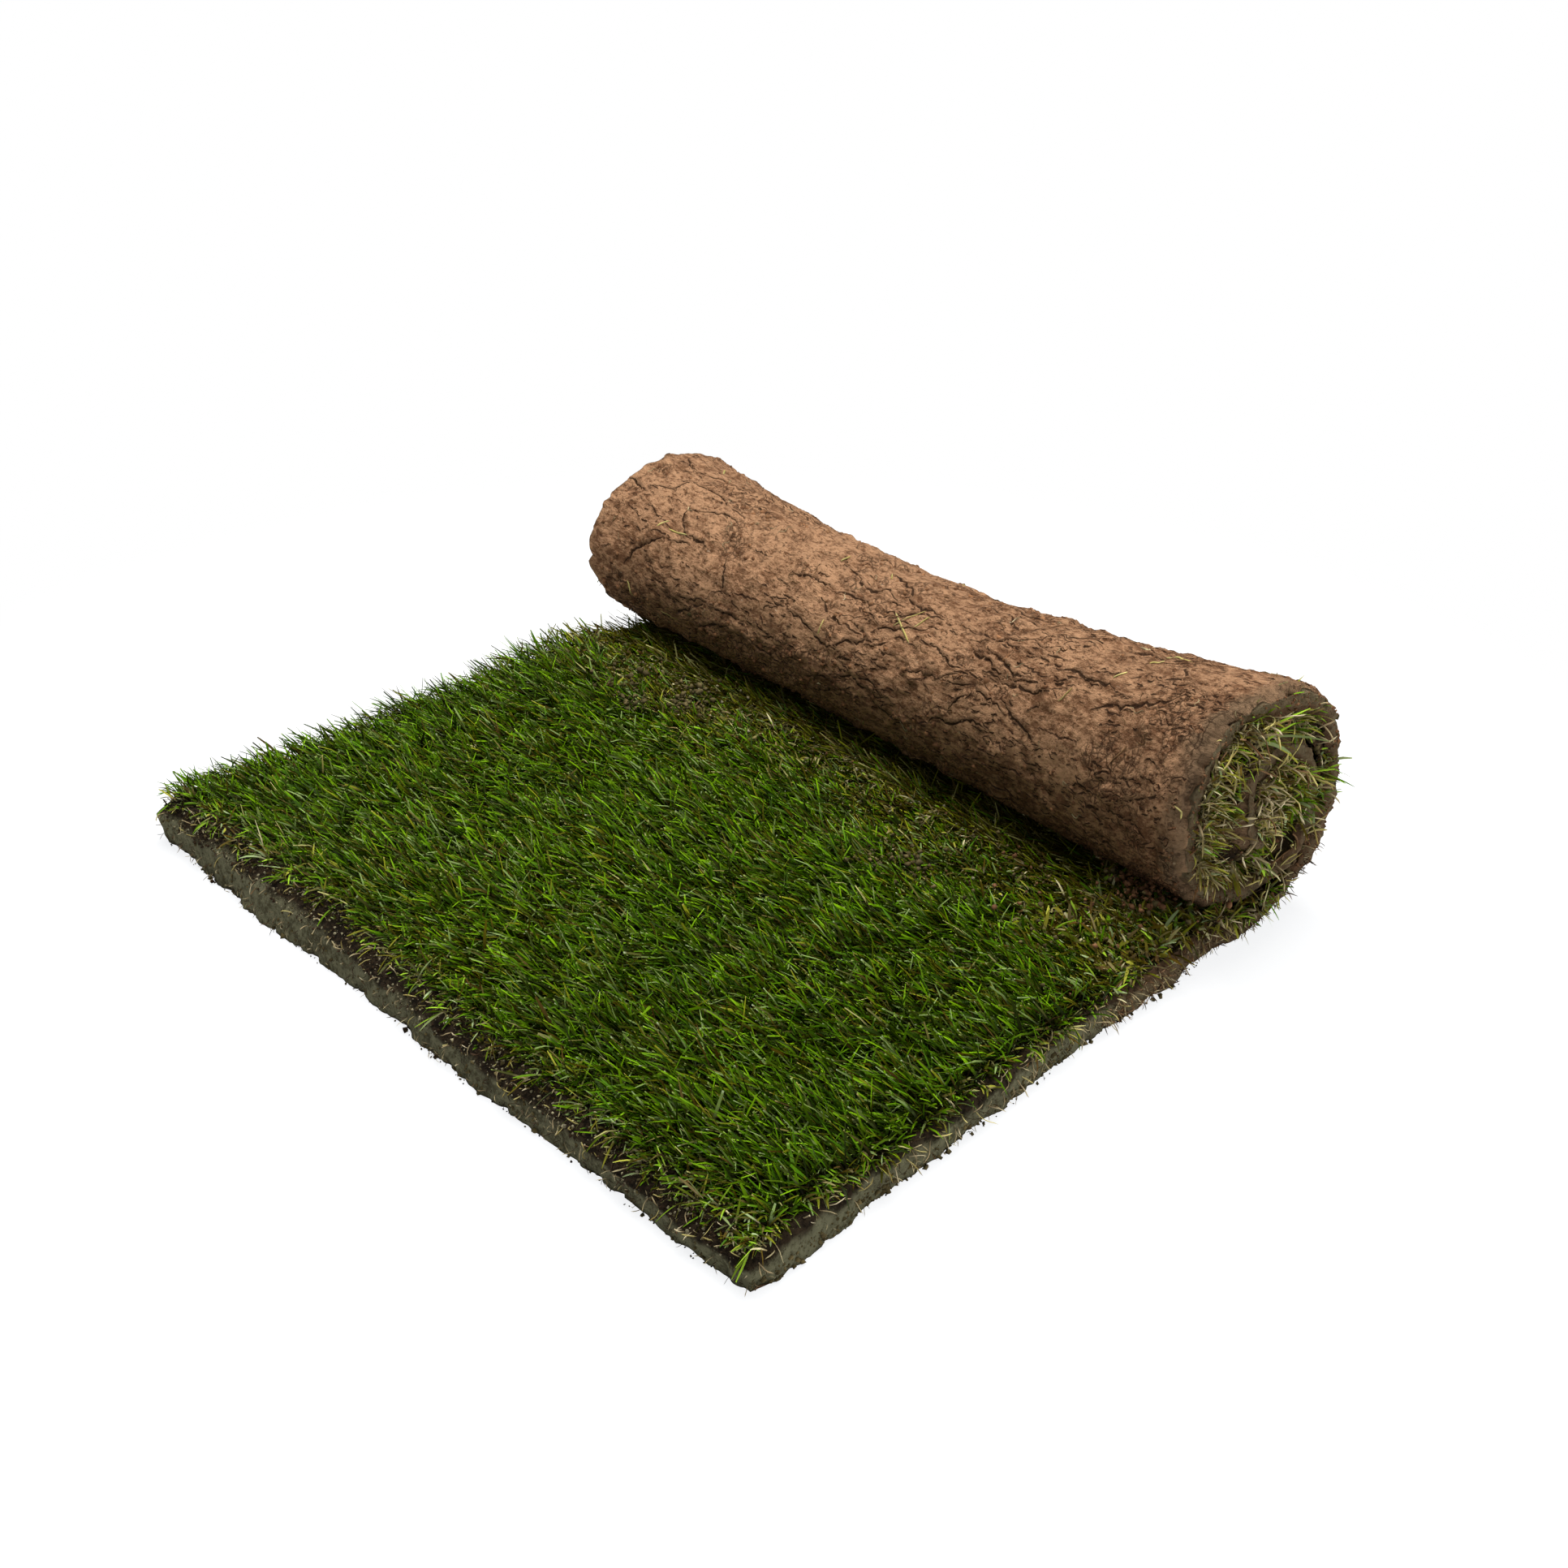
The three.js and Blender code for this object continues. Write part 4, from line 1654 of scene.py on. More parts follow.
@dataclass
class Sward:
    """The standing grass: combed blades on the flat, pressed ones under the coil, tufts at its ends."""

    form: StripForm
    shop: Workshop
    blades: int = 55000
    short_blades: int = 20000
    bands: tuple[str, ...] = ("at_cut_end", "second_band", "third_band", "before_coil")
    lean: float = math.radians(127.0)  # heading of the comb, from +X towards +Y
    inset: float = 4.0  # how far inside the long edges the blades stand
    seed: int = 20
    rng: Rng = field(init=False)  # the source of chance, begun afresh for each lot

    @property
    def clear_width(self) -> float:
        """Width of the ground between the outermost blades."""
        return self.form.width - 2.0 * self.inset

    def roots(self, x: Array, y: Array) -> Array:
        """Roots on the flat length's bumpy ground.

        Args:
            x, y: places in the strip's own coordinates.

        Returns:
            Points in the object's frame.
        """
        form = self.form
        raised = 5.0 * smoothstep(y, 170.0, 290.0) * smoothstep(x, 270.0, 380.0)
        level = form.soil_at_x(x) + end_lift(x, y) + raised
        return places(x - form.flat_length / 2.0, y, level - 0.8 + layered(places(x, y), 11.0, 61, 2))

    def end_line(self, y: Array) -> Array:
        """Where the top of the cut end lies, in the strip's own coordinates."""
        return self.form.end_set_back + self.form.cut_back(y) + end_lean(y)

    def comb(self, root: Array, room: Array | float = 60.0, rise: float = 1.0) -> Blades:
        """Combed blades at some roots: like neighbours lie alike, and a few stray.

        Args:
            root: where the blades stand.
            room: height that is free above each root, in mm.
            rise: scales the slopes, under 1 for trodden grass.

        Returns:
            The blades.
        """
        rng = self.rng
        count = len(root)
        flat = root[:, :2]
        stray = rng.random(count) < 0.17
        swirl = 0.5 * noise(flat, 16.0, 81) + 0.3 * layered(flat, 70.0, 82, 2)
        heading = self.lean + swirl + rng.normal(0.0, 0.4, count)
        heading = np.where(stray, self.lean + rng.uniform(-2.4, 2.4, count), heading)
        length = rng.uniform(15.0, 30.0, count) * (1.0 + 0.2 * noise(flat, 18.0, 83))
        foot = np.radians(rng.normal(60.0, 11.0, count)) * rise
        tip = np.radians(rng.normal(16.0, 22.0, count)) * rise
        lift = length * np.sin(np.clip((foot + tip) / 2.0, 0.05, 1.5))
        squeeze = np.clip(0.85 * room / lift, 0.0, 1.0)
        width = rng.uniform(0.7, 1.4, count) + 1.0 * (rng.random(count) < 0.04)
        blunt = np.where(rng.random(count) < 0.6, rng.uniform(0.45, 0.8, count), 0.12)
        roll = rng.normal(0.0, 0.75, count)
        column = rng.random(count)
        return Blades(root, length, width, heading, foot * squeeze, tip * squeeze, roll, column, blunt)

    def build_flat(self) -> None:
        """The combed sward from the cut end to the coil's nose, in bands along the strip."""
        form = self.form
        rng = self.rng = np.random.default_rng(self.seed)
        across = round(math.sqrt(self.blades * 600.0 / 380.0))
        rows = round(self.blades / across)
        grid = places(*np.meshgrid(np.arange(rows), np.arange(across), indexing="ij")).reshape(-1, 2)
        grid = (grid + rng.random(grid.shape)) / np.array([rows, across])
        y = (grid[:, 1] - 0.5) * self.clear_width
        nose = form.nose_x(y)
        start = self.end_line(y) + 6.0 + 5.0 * layered(places(y, 0.0), 22.0, 91, 3)
        x = start + (nose - start) * grid[:, 0]
        y = y + form.edge_wander(x)
        blades = self.comb(self.roots(x, y))
        flat = blades.root[:, :2]
        near_end = fall(x - start, 0.0, 30.0)
        worn = smoothstep(x - nose + 25.0 * noise(flat, 30.0, 97), -95.0, -25.0)
        longer = 1.0 + 0.15 * smoothstep(y, 230.0, 290.0) * smoothstep(x, 250.0, 350.0)
        blades.length *= (1.0 - near_end * rng.uniform(0.25, 0.6, len(x))) * longer * (1.0 - 0.35 * worn)
        blades.heading += near_end * rng.normal(0.0, 0.7, len(x))
        blades.rise_foot *= 1.0 - 0.25 * worn
        patch = smoothstep(layered(flat, 90.0, 92, 3), 0.0, 0.5)
        weights = {
            Kind.FRESH: 1.0 - 0.4 * worn,
            Kind.BLUE: 0.12,
            Kind.OLIVE: 0.1 + (0.4 + 0.8 * smoothstep(-y, 200.0, 260.0)) * worn + 0.2 * patch,
            Kind.STRAW: 0.02 + 0.12 * near_end + 0.3 * worn * smoothstep(y, -200.0, 120.0),
        }
        blades.column = mixed_columns(rng, weights, len(x))
        band = (grid[:, 0] * len(self.bands)).astype(int)
        for number, name in enumerate(self.bands):
            self.shop.place(f"sward_{name}", blades.pick(band == number).ribbons(), GRASS_BLADES)
        self.build_short_growth(blades)

    def build_short_growth(self, combed: Blades) -> None:
        """Short blades like some of the combed ones, each at the root of another.

        Args:
            combed: the combed blades.
        """
        rng = self.rng
        inner = rng.permutation(np.flatnonzero(combed.root[:, 1] < 284.0))[: self.short_blades]
        short = combed.pick(inner)
        short.root = combed.root[rng.permutation(inner)]
        short.length *= 0.55
        short.width *= 1.1
        short.heading += rng.normal(0.0, 0.9, len(inner))
        # painted shade: the short blades reach only 0.38 of their column, so they stay near the dark foot
        # colour as shade under the sward
        short.sections, short.bright = 2, 0.38
        short.column = mixed_columns(rng, {Kind.FRESH: 0.5, Kind.OLIVE: 1.0, Kind.STRAW: 0.2}, len(inner))
        self.shop.place("short_growth", short.ribbons(), GRASS_BLADES)

    def build_under_coil(self) -> None:
        """Grass from the coil's nose in to the nip, lower and lower under the coil."""
        count = 7000
        form = self.form
        rng = self.rng = np.random.default_rng(self.seed + 1)
        t = rng.uniform(0.75, 0.965, count)
        y = rng.uniform(-0.5, 0.475, count) * self.clear_width
        x, ceiling = form.coil_point(t, form.u(y), 0.0)
        room = np.maximum(ceiling - form.soil_at_x(x) - 1.5, 1.2)
        blades = self.comb(self.roots(x, y), room, 0.8)
        blades.sections = 3
        weights = {Kind.FRESH: 0.35, Kind.BLUE: 0.05, Kind.OLIVE: 1.2, Kind.STRAW: 0.5}
        blades.column = mixed_columns(rng, weights, count)
        self.shop.place("sward_under_coil", blades.ribbons(), GRASS_BLADES)

    def tufts(self, name: str, roots: Array, aims: Array, style: TuftStyle) -> None:
        """Clusters of blades, each cluster fanning from one root about one aim.

        Args:
            name: the piece's name.
            roots: the clusters' roots in mm.
            aims: their directions.
            style: what they are like.
        """
        rng = np.random.default_rng(self.seed + len(roots))
        count = len(roots) * style.each
        root = np.repeat(roots, style.each, axis=0) + rng.normal(0.0, 1.6, (count, 3))
        aim = unit(np.repeat(unit(aims), style.each, axis=0) + style.fan * rng.normal(size=(count, 3)))
        heading = np.arctan2(aim[:, 1], aim[:, 0])
        foot = np.arcsin(np.clip(aim[:, 2], -0.99, 0.99))
        tip = foot - rng.uniform(0.1, 1.0, count)
        longest = np.repeat(rng.uniform(*style.reach, len(roots)), style.each)
        length = longest * rng.uniform(0.5, 1.1, count)
        dry = style.dry
        weights = {Kind.FRESH: 1.0, Kind.BLUE: 0.35, Kind.OLIVE: 0.35 + dry, Kind.STRAW: 0.7 * dry}
        column = mixed_columns(rng, weights, count)
        width = style.broad * rng.uniform(0.6, 1.5, count)
        roll = rng.normal(0.0, 0.9, count)
        blunt = rng.uniform(0.12, 0.5, count)
        blades = Blades(root, length, width, heading, foot, tip, roll, column, blunt, 5)
        self.shop.place(name, blades.ribbons(), TUFT_BLADES)

    def build_tufts(self, filling: Shell) -> None:
        """Tufts out of the coil's ends and out of the edges of the flat length.

        Args:
            filling: the sheet that the right end's tufts stand on.
        """
        rng = self.rng = np.random.default_rng(self.seed + 3)
        self.right_end_tufts(filling)
        for number, sheaf in enumerate(SHEAVES):
            roots = places(sheaf.x, -310.0, sheaf.z) + rng.normal(0.0, 1.5, (3, 3))
            reach = (0.6 * sheaf.longest, sheaf.longest)
            style = TuftStyle(math.ceil(sheaf.blades / 3), sheaf.dry, reach, 0.27, 1.7)
            self.tufts(f"sheaf_{number + 1}", roots, np.tile(sheaf.aim, (3, 1)), style)
        self.margin_tufts()
        self.tufts_before_coil()
        self.edge_tufts()

    def right_end_tufts(self, filling: Shell) -> None:
        """Tufts over the matted right end: the front ones lean out, those at its back lean forward.

        Args:
            filling: the sheet that they stand on.
        """
        rng = self.rng
        corners = filling.points[filling.faces]
        diagonals = corners[:, 2:] - corners[:, :2]
        area = np.linalg.norm(np.cross(diagonals[:, 0], diagonals[:, 1]), axis=1)
        roots = corners[rng.choice(len(area), 400, p=area / area.sum())].mean(axis=1)
        middle = self.form.flat_length / 2.0 + self.form.coil_advance.right
        back = smoothstep(roots[:, 0], middle - 15.0, middle + 45.0)
        low = fall(roots[:, 2], 45.0, 85.0)
        clumped = smoothstep(noise(roots[:, [0, 2]], 26.0, 96), -0.55, 0.15)
        kept = rng.random(len(roots)) < clumped * (1.0 - 0.2 * back) * (1.0 - low * back)
        roots, back = roots[kept], back[kept, None]
        foot = fall(roots[:, 2:], 40.0, 85.0)
        front = np.array([0.45, -0.5, 0.6]) * (1.0 - foot) + np.array([-0.4, -0.25, 0.7]) * foot
        aims = front * (1.0 - back) + np.array([-0.45, -0.3, 0.7]) * back
        aims = aims + 0.45 * rng.normal(size=aims.shape)
        green = rng.random(len(roots)) < 0.25 + 0.6 * back[:, 0]
        fresh = TuftStyle(10, 0.05, (9.0, 25.0), 0.45, 1.5)
        self.tufts("right_end_tufts", roots[green], aims[green], fresh)
        self.tufts("right_end_dry_tufts", roots[~green], aims[~green], TuftStyle(9, 1.6, (8.0, 22.0)))

    def margin_tufts(self) -> None:
        """Tufts out of the coil's front margin at its right end, and out of its left end."""
        rng = self.rng
        form = self.form
        count = 120
        station = form.wound_station(rng.uniform(0.42, 0.84, count))
        roots = form.point(station, rng.uniform(0.0, 0.006, count), rng.uniform(0.55, 1.0, count))
        roots[:, 1] += 12.0 - form.flush_per_turn * form.turn(station)
        aims = np.array([0.65, -0.5, 0.4]) + 0.4 * rng.normal(size=(count, 3))
        self.tufts("right_margin_tufts", roots, aims, TuftStyle(6, 2.4, (8.0, 24.0)))
        count = 90
        roots = form.point(form.wound_station(rng.uniform(0.75, 1.15, count)), 0.998, 1.0)
        aims = np.array([0.0, 0.5, 0.2]) + 0.3 * rng.normal(size=(count, 3))
        self.tufts("left_end_tufts", roots, aims, TuftStyle(6))

    def tufts_before_coil(self) -> None:
        """Tufts on the flat length beside the coil: broad ones at its right end, dry ones along it."""
        rng = self.rng
        form = self.form
        count = 400
        x = rng.uniform(330.0, 450.0, count)
        y = -form.width / 2.0 + 7.0 + 80.0 * rng.random(count) ** 1.3
        roots = places(x - form.flat_length / 2.0, y, form.soil_at_x(x) + 1.0)
        aims = np.array([-0.5, -0.2, 0.6]) + 0.5 * rng.normal(size=(count, 3))
        style = TuftStyle(6, 1.8, (9.0, 22.0), 0.5, 2.0)
        self.tufts("tufts_before_right_end", roots, aims, style)
        count = 150
        y = rng.uniform(-270.0, 290.0, count)
        roots = self.roots(form.nose_x(y) - 6.0 - rng.exponential(24.0, count), y) + np.array([0.0, 0.0, 8.0])
        aims = np.array([-0.4, 0.3, 0.25]) + 0.5 * rng.normal(size=(count, 3))
        self.tufts("dry_tufts_before_coil", roots, aims, TuftStyle(5, 5.0, (5.0, 13.0)))

    def edge_tufts(self) -> None:
        """Tufts at the cut end and at the right cut edge of the flat length."""
        rng = self.rng
        count = 300
        y = -303.0 + 600.0 * rng.random(count) ** 1.3
        roots = self.roots(self.end_line(y) + rng.uniform(-2.0, 16.0, count), y)
        aims = np.array([-0.5, 0.0, 0.45]) + 0.6 * rng.normal(size=(count, 3))
        self.tufts("cut_end_tufts", roots, aims, TuftStyle(6, 0.12, (7.0, 24.0)))
        count = 90
        x = rng.uniform(8.0, 330.0, count)
        roots = self.roots(x, -self.form.width / 2.0 + rng.uniform(2.0, 16.0, count))
        aims = np.array([0.0, -0.55, 0.4]) + 0.6 * rng.normal(size=(count, 3))
        self.tufts("right_edge_tufts", roots, aims, TuftStyle(5, 0.5, (6.0, 17.0)))

    def build_right_overhang(self) -> None:
        """Blades that arch over the right cut edge of the flat length."""
        count = 1150
        form = self.form
        rng = np.random.default_rng(self.seed + 5)
        x = rng.uniform(10.0, form.flat_length - 130.0, count)
        gather = smoothstep(noise(places(x, 0.0), 19.0, 95), -0.5, 0.4)
        y = -form.width / 2.0 + 5.0 + 16.0 * rng.random(count) + form.edge_wander(x)
        length = rng.uniform(8.0, 18.0, count) * (0.35 + 0.65 * gather)
        heading = np.radians(rng.normal(-80.0, 65.0, count))
        foot = np.radians(rng.uniform(30.0, 75.0, count))
        tip = foot - np.radians(rng.uniform(20.0, 80.0, count))
        weights = {Kind.FRESH: 1.0, Kind.BLUE: 0.1, Kind.OLIVE: 0.3, Kind.STRAW: 0.22}
        column = mixed_columns(rng, weights, count)
        roll = rng.normal(0.0, 0.8, count)
        width = rng.uniform(0.8, 1.6, count)
        blunt = np.full(count, 0.3)
        blades = Blades(self.roots(x, y), length, width, heading, foot, tip, roll, column, blunt, 5)
        self.shop.place("right_edge_overhang", blades.ribbons(), GRASS_BLADES)

    def build_end_fringe(self) -> None:
        """Short stubs and dead stems between the cut end and the full sward."""
        count = 2400
        rng = np.random.default_rng(self.seed + 6)
        y = rng.uniform(-0.5, 0.5, count) * self.clear_width
        edge = self.end_line(y)
        x = edge + rng.uniform(-6.0, 24.0, count)
        root = self.roots(x, y)
        root[:, 2] -= np.maximum(0.0, edge - x) * 0.55
        length = rng.uniform(3.0, 6.0, count) + 8.0 * rng.random(count) ** 2 * smoothstep(x, 14.0, 34.0)
        heading = np.radians(rng.normal(140.0, 60.0, count))
        foot = np.radians(rng.uniform(10.0, 75.0, count))
        weights = {Kind.FRESH: 0.6, Kind.BLUE: 0.5, Kind.OLIVE: 0.7, Kind.STRAW: 0.3}
        column = mixed_columns(rng, weights, count)
        roll = rng.normal(0.0, 0.8, count)
        width = rng.uniform(0.7, 1.4, count)
        blades = Blades(root, length, width, heading, foot, foot - 0.4, roll, column, np.full(count, 0.4))
        self.shop.place("cut_end_fringe", blades.ribbons(), GRASS_BLADES)


# ------------------------------------------------------------------ threads and lumps


@dataclass(frozen=True)
class ThreadStyle:
    """What a lot of threads is like."""

    length: tuple[float, float]  # least and greatest, in mm
    radius: tuple[float, float]
    curl: float  # strength of the random nudge at each step
    droop: float  # strength of the downward one
    steps: int  # points on each path
    kinds: dict[Kind, float]
    columns_first: bool = False  # whether chance gives the columns before the radii


def wandering(rng: Rng, start: Array, heading: Array, style: ThreadStyle) -> Array:
    """Paths that set out one way and wander: each step's direction is the last one, nudged.

    Args:
        rng: the source of chance.
        start: first points.
        heading: first directions.
        style: what the threads are like.

    Returns:
        Points, one path a row.
    """
    step = (rng.uniform(*style.length, len(start)) / (style.steps - 1))[:, None]
    path = np.zeros((len(start), style.steps, 3))
    path[:, 0] = start
    direction = unit(heading)
    bias = rng.normal(size=direction.shape) * style.curl
    for index in range(1, style.steps):
        nudge = bias + 0.6 * style.curl * rng.normal(size=direction.shape)
        direction = unit(direction + nudge - np.array([0.0, 0.0, style.droop]))
        path[:, index] = path[:, index - 1] + direction * step
        path[:, index, 2] = np.maximum(path[:, index, 2], 0.4)
    return path


def tubes(path: Array, radius: Array, column: Array, sides: int = 3) -> Shell:
    """Thin round threads along paths, narrowing at both ends.

    Args:
        path: points, one path a row.
        radius: each thread's radius in mm.
        column: each thread's palette column.
        sides: corners of the section.

    Returns:
        The threads' shell: each section is the path's point plus the radius along two directions
        square to the path.
    """
    count, steps = path.shape[:2]
    ahead = unit(np.gradient(path, axis=1))
    other = unit(np.cross(ahead, np.array([0.31, 0.52, 0.8])))
    third = np.cross(ahead, other)
    mark = np.linspace(0.0, 1.0, steps)
    taper = np.clip(np.minimum(mark, 1.0 - mark) * steps * 0.8, 0.12, 1.0)
    angle = np.linspace(0.0, 2.0 * np.pi, sides, endpoint=False)[:, None]
    ring = np.cos(angle) * other[:, :, None] + np.sin(angle) * third[:, :, None]
    points = path[:, :, None] + ring * (radius[:, None] * taper)[..., None, None]
    corner = np.arange(count * steps * sides).reshape(count, steps, sides)
    beside = np.roll(corner, -1, axis=2)
    faces = np.stack([corner[:, :-1], beside[:, :-1], beside[:, 1:], corner[:, 1:]], axis=-1)
    across = column_place(column[:, None, None], np.abs(np.linspace(-1.0, 1.0, sides)))
    return Shell.of(points, faces, places(across, mark[:, None]))


def lumps(rng: Rng, centre: Array, radius: Array, column: Array) -> Shell:
    """Small broken lumps: cubes whose eight corners are pulled about, one at each centre.

    Args:
        rng: the source of chance.
        centre: their middles.
        radius: their sizes in mm.
        column: their palette columns.

    Returns:
        The lumps' shell: each corner at its own distance, the whole tilted and turned at random.
    """
    ends = [-1.0, 1.0]
    cube = places(*np.meshgrid(ends, ends, ends, indexing="ij")).reshape(-1, 3)
    faces = np.array([(0, 1, 3, 2), (4, 6, 7, 5), (0, 4, 5, 1), (2, 3, 7, 6), (0, 2, 6, 4), (1, 5, 7, 3)])
    count = len(centre)
    uneven = rng.uniform(0.6, 1.2, (count, 8, 1)) * rng.uniform(0.6, 1.2, (count, 1, 3))
    points = cube * 0.65 * uneven * radius[:, None, None]
    for first, second in ((0, 1), (1, 2)):
        spin = rng.uniform(0.0, 2.0 * np.pi, (count, 1))
        one, two = points[..., first].copy(), points[..., second].copy()
        points[..., first] = one * np.cos(spin) - two * np.sin(spin)
        points[..., second] = one * np.sin(spin) + two * np.cos(spin)
    points = points + centre[:, None, :]
    points[..., 2] = np.maximum(points[..., 2], 0.05)
    across = column_place(column[:, None], 0.5 + 0.5 * cube[:, 0])
    uv = places(across, 0.5 + 0.2 * cube[:, 2] + 0.1 * cube[:, 1])
    return Shell.of(points, repeated(faces, 8, count), uv)


@dataclass(frozen=True)
class CrackKind:
    """A lot of like cracks: how many, their sizes in mm from least to most, and named places.

    A named place is where a crack begins and ends, as length along the strip and place across it.
    """

    name: str
    count: int
    length: tuple[float, float]
    width: tuple[float, float]
    lip: tuple[float, float]
    reach: float
    steps: int
    named: tuple[tuple[float, ...], ...] = ()


LONG_CRACKS = CrackKind(
    name="long_cracks",
    count=185,
    length=(22.0, 78.0),
    width=(1.3, 3.2),
    lip=(0.7, 2.2),
    reach=5.0,
    steps=19,
    named=(
        (751.0, 277.0, 756.0, 303.0),
        (745.0, 244.0, 747.0, 262.0),
        (722.0, 234.0, 722.0, 261.0),
        (769.0, 228.0, 763.0, 264.0),
        (778.0, 228.0, 789.0, 272.0),
        (772.0, 205.0, 773.0, 224.0),
        (737.0, 175.0, 744.0, 215.0),
        (752.0, 125.0, 753.0, 144.0),
        (712.0, 263.0, 715.0, 293.0),
        (752.0, 59.0, 755.0, 94.0),
        (765.0, 24.0, 773.0, 60.0),
        (798.0, 12.0, 794.0, 25.0),
        (754.0, -113.0, 758.0, -89.0),
    ),
)
COIL_CRACKS = (
    LONG_CRACKS,
    CrackKind("middling_cracks", 493, (7.0, 19.0), (0.9, 2.3), (0.4, 1.5), reach=3.0, steps=8),
    CrackKind("short_cracks", 1320, (3.0, 8.0), (0.5, 1.3), (0.2, 0.9), reach=1.6, steps=4),
)


@dataclass
class Scatter:
    """Roots, stolons, straws, crumbs and clods on and around the soil."""

    mat: SoilMat
    shop: Workshop
    seed: int = 60
    rng: Rng = field(init=False)  # the source of chance, begun afresh for each lot
    furthest: float = -342.0  # how far threads may reach to the right
    # straws on the coil: where each begins and ends, along the strip and across it
    straws: tuple[tuple[float, ...], ...] = (
        (767.0, -8.0, 742.0, -25.0),
        (761.0, -27.0, 745.0, -34.0),
        (748.0, -2.0, 766.0, -30.0),
        (793.0, 51.0, 779.0, 50.0),
        (745.0, -201.0, 736.0, -206.0),
        (771.0, -172.0, 760.0, -178.0),
        (794.0, -228.0, 782.0, -236.0),
        (731.0, 71.0, 722.0, 70.0),
        (714.0, 32.0, 722.0, 24.0),
    )
    # heaps of clods in the sward: X, Y, reach, and share of the clods; the last one is dry and higher
    heaps: tuple[tuple[float, ...], ...] = (
        (113.0, 209.0, 22.0, 0.15),
        (98.0, 176.0, 10.0, 0.12),
        (125.0, 145.0, 12.0, 0.12),
        (150.0, 160.0, 14.0, 0.12),
        (77.0, -125.0, 22.0, 0.14),
        (162.0, -258.0, 20.0, 0.35),
    )

    @property
    def form(self) -> StripForm:
        """The strip's form."""
        return self.mat.form

    def on_coil(self, run: Array, y: Array, proud: Array | float) -> Array:
        """Points on the coil's roughened outside, standing a little proud of it.

        Args:
            run, y: lengths along the strip and places across it.
            proud: how far they stand out, in mm.

        Returns:
            Points in the object's frame.
        """
        form = self.form
        station = form.station_at(run)
        share = y / form.width + 0.5
        t = form.turn(station)
        height = self.mat.relief.outside(run, y)["height"] * smoothstep(t, 0.0, 0.12)
        height = height + proud - self.mat.rolled_margin(run, share, t)
        inward = form.directions(station, share, 0.0)[2]
        points = form.point(station, share, 0.0) - inward * height[..., None]
        points[..., 1] += self.mat.side_shift(share, t)
        return points

    def on_cut(self, run: Array | float, share: Array | float, level: Array) -> Array:
        """Points on the roughened cut faces: of the end where run is 0, else of the side at the share."""
        return self.mat.surface(self.form.station_at(run), share, level)[0]

    def at_foot(self, count: int, likely: float) -> tuple[Array, Array]:
        """Places along the flat length's right cut edge and, for the others, its cut end.

        Args:
            count: how many places.
            likely: how likely a place is at the edge.

        Returns:
            Whether each is at the edge, and its station.
        """
        rng = self.rng
        along = rng.random(count) < likely
        station = self.form.station_at(rng.uniform(0.0, self.form.flat_length, count))
        return along, np.where(along, station, 0.0)

    def build_cracks(self) -> None:
        """The cracks that winding opened in the coil's outside."""
        self.rng = np.random.default_rng(self.seed + 8)
        for kind in COIL_CRACKS:
            self.shop.place(kind.name, self.crack_strips(kind), DRY_EARTH)

    def crack_paths(self, kind: CrackKind, low: float, high: float) -> tuple[Array, Array]:
        """Where cracks run: they set out across the strip, gathered in places, and wander.

        Args:
            kind: the lot.
            low, high: the lengths of strip between which they start.

        Returns:
            Lengths along the strip and places across it, one crack a row.
        """
        rng = self.rng
        count = kind.count
        run = rng.uniform(low, high, 4 * count)
        y = rng.uniform(-300.0, 296.0, 4 * count)
        gather = noise(places(run, 0.6 * y), 30.0, 47) + 1.1 * rng.random(4 * count)
        gather = gather + 0.8 * smoothstep(-y, 60.0, 200.0) + 0.6 * smoothstep(run, 775.0, 825.0)
        chosen = np.argsort(-gather)[: 2 * count : 2]
        run, y = run[chosen], y[chosen]
        length = rng.uniform(*kind.length, count)
        angle = rng.normal(0.08, 0.16, count)
        named = np.array(kind.named).reshape(-1, 4)
        first = slice(len(named))
        run[first], y[first] = named[:, 0], named[:, 1]
        ahead, across = named[:, 2] - named[:, 0], named[:, 3] - named[:, 1]
        length[first] = 1.15 * np.hypot(ahead, across)
        angle[first] = np.arctan2(ahead, across)
        walk = np.cumsum(rng.normal(0.0, 0.08, (count, kind.steps)), axis=1)
        heading = angle[:, None] + (walk + rng.normal(0.0, 0.4, (count, kind.steps)))
        step = (length / (kind.steps - 1))[:, None]
        run = run[:, None] + np.cumsum(np.sin(heading) * step, axis=1)
        return run, y[:, None] + np.cumsum(np.cos(heading) * step, axis=1)

    def crack_sections(self, kind: CrackKind) -> tuple[Array, Array, Array]:
        """Sections of cracks: a raised ragged edge, a dark gap and a lower edge.

        Both ends of a crack taper to nothing, and a quarter of the cracks are the other way round.

        Args:
            kind: the lot.

        Returns:
            How far each corner lies to the side, its height, and how far it is in the gap.
        """
        rng = self.rng
        size = (kind.count, kind.steps)
        taper = np.sin(np.pi * np.clip(np.linspace(0.0, 1.0, kind.steps), 0.04, 0.96)) ** 0.6
        ragged = rng.uniform(0.25, 1.25, size)
        width = rng.uniform(*kind.width, kind.count)[:, None] * taper * ragged
        lip = rng.uniform(*kind.lip, kind.count)[:, None] * taper * rng.uniform(0.6, 1.2, size)
        reach = kind.reach * taper * rng.uniform(0.6, 1.2, size)
        # painted shade: the corners in the gap take the dark crack colour
        gap = np.array([0.0, 0.25, 1.0, 1.0, 0.0, 0.0])
        beyond = (0.5 * width + 0.3, reach * 0.4 + width)
        offset = places(-reach - 0.5 * width, -0.5 * width, -0.3 * width, 0.4 * width, *beyond)
        height = places(-0.3, lip, 0.2, 0.2, 0.25 * lip + 0.25, -0.3)
        if kind.steps < 6:
            offset, height, gap = offset[..., [0, 1, 2, 4]], height[..., [0, 1, 2, 4]], gap[:4]
        gap = np.broadcast_to(gap, offset.shape)
        turned = (rng.random(kind.count) < 0.25)[:, None, None]
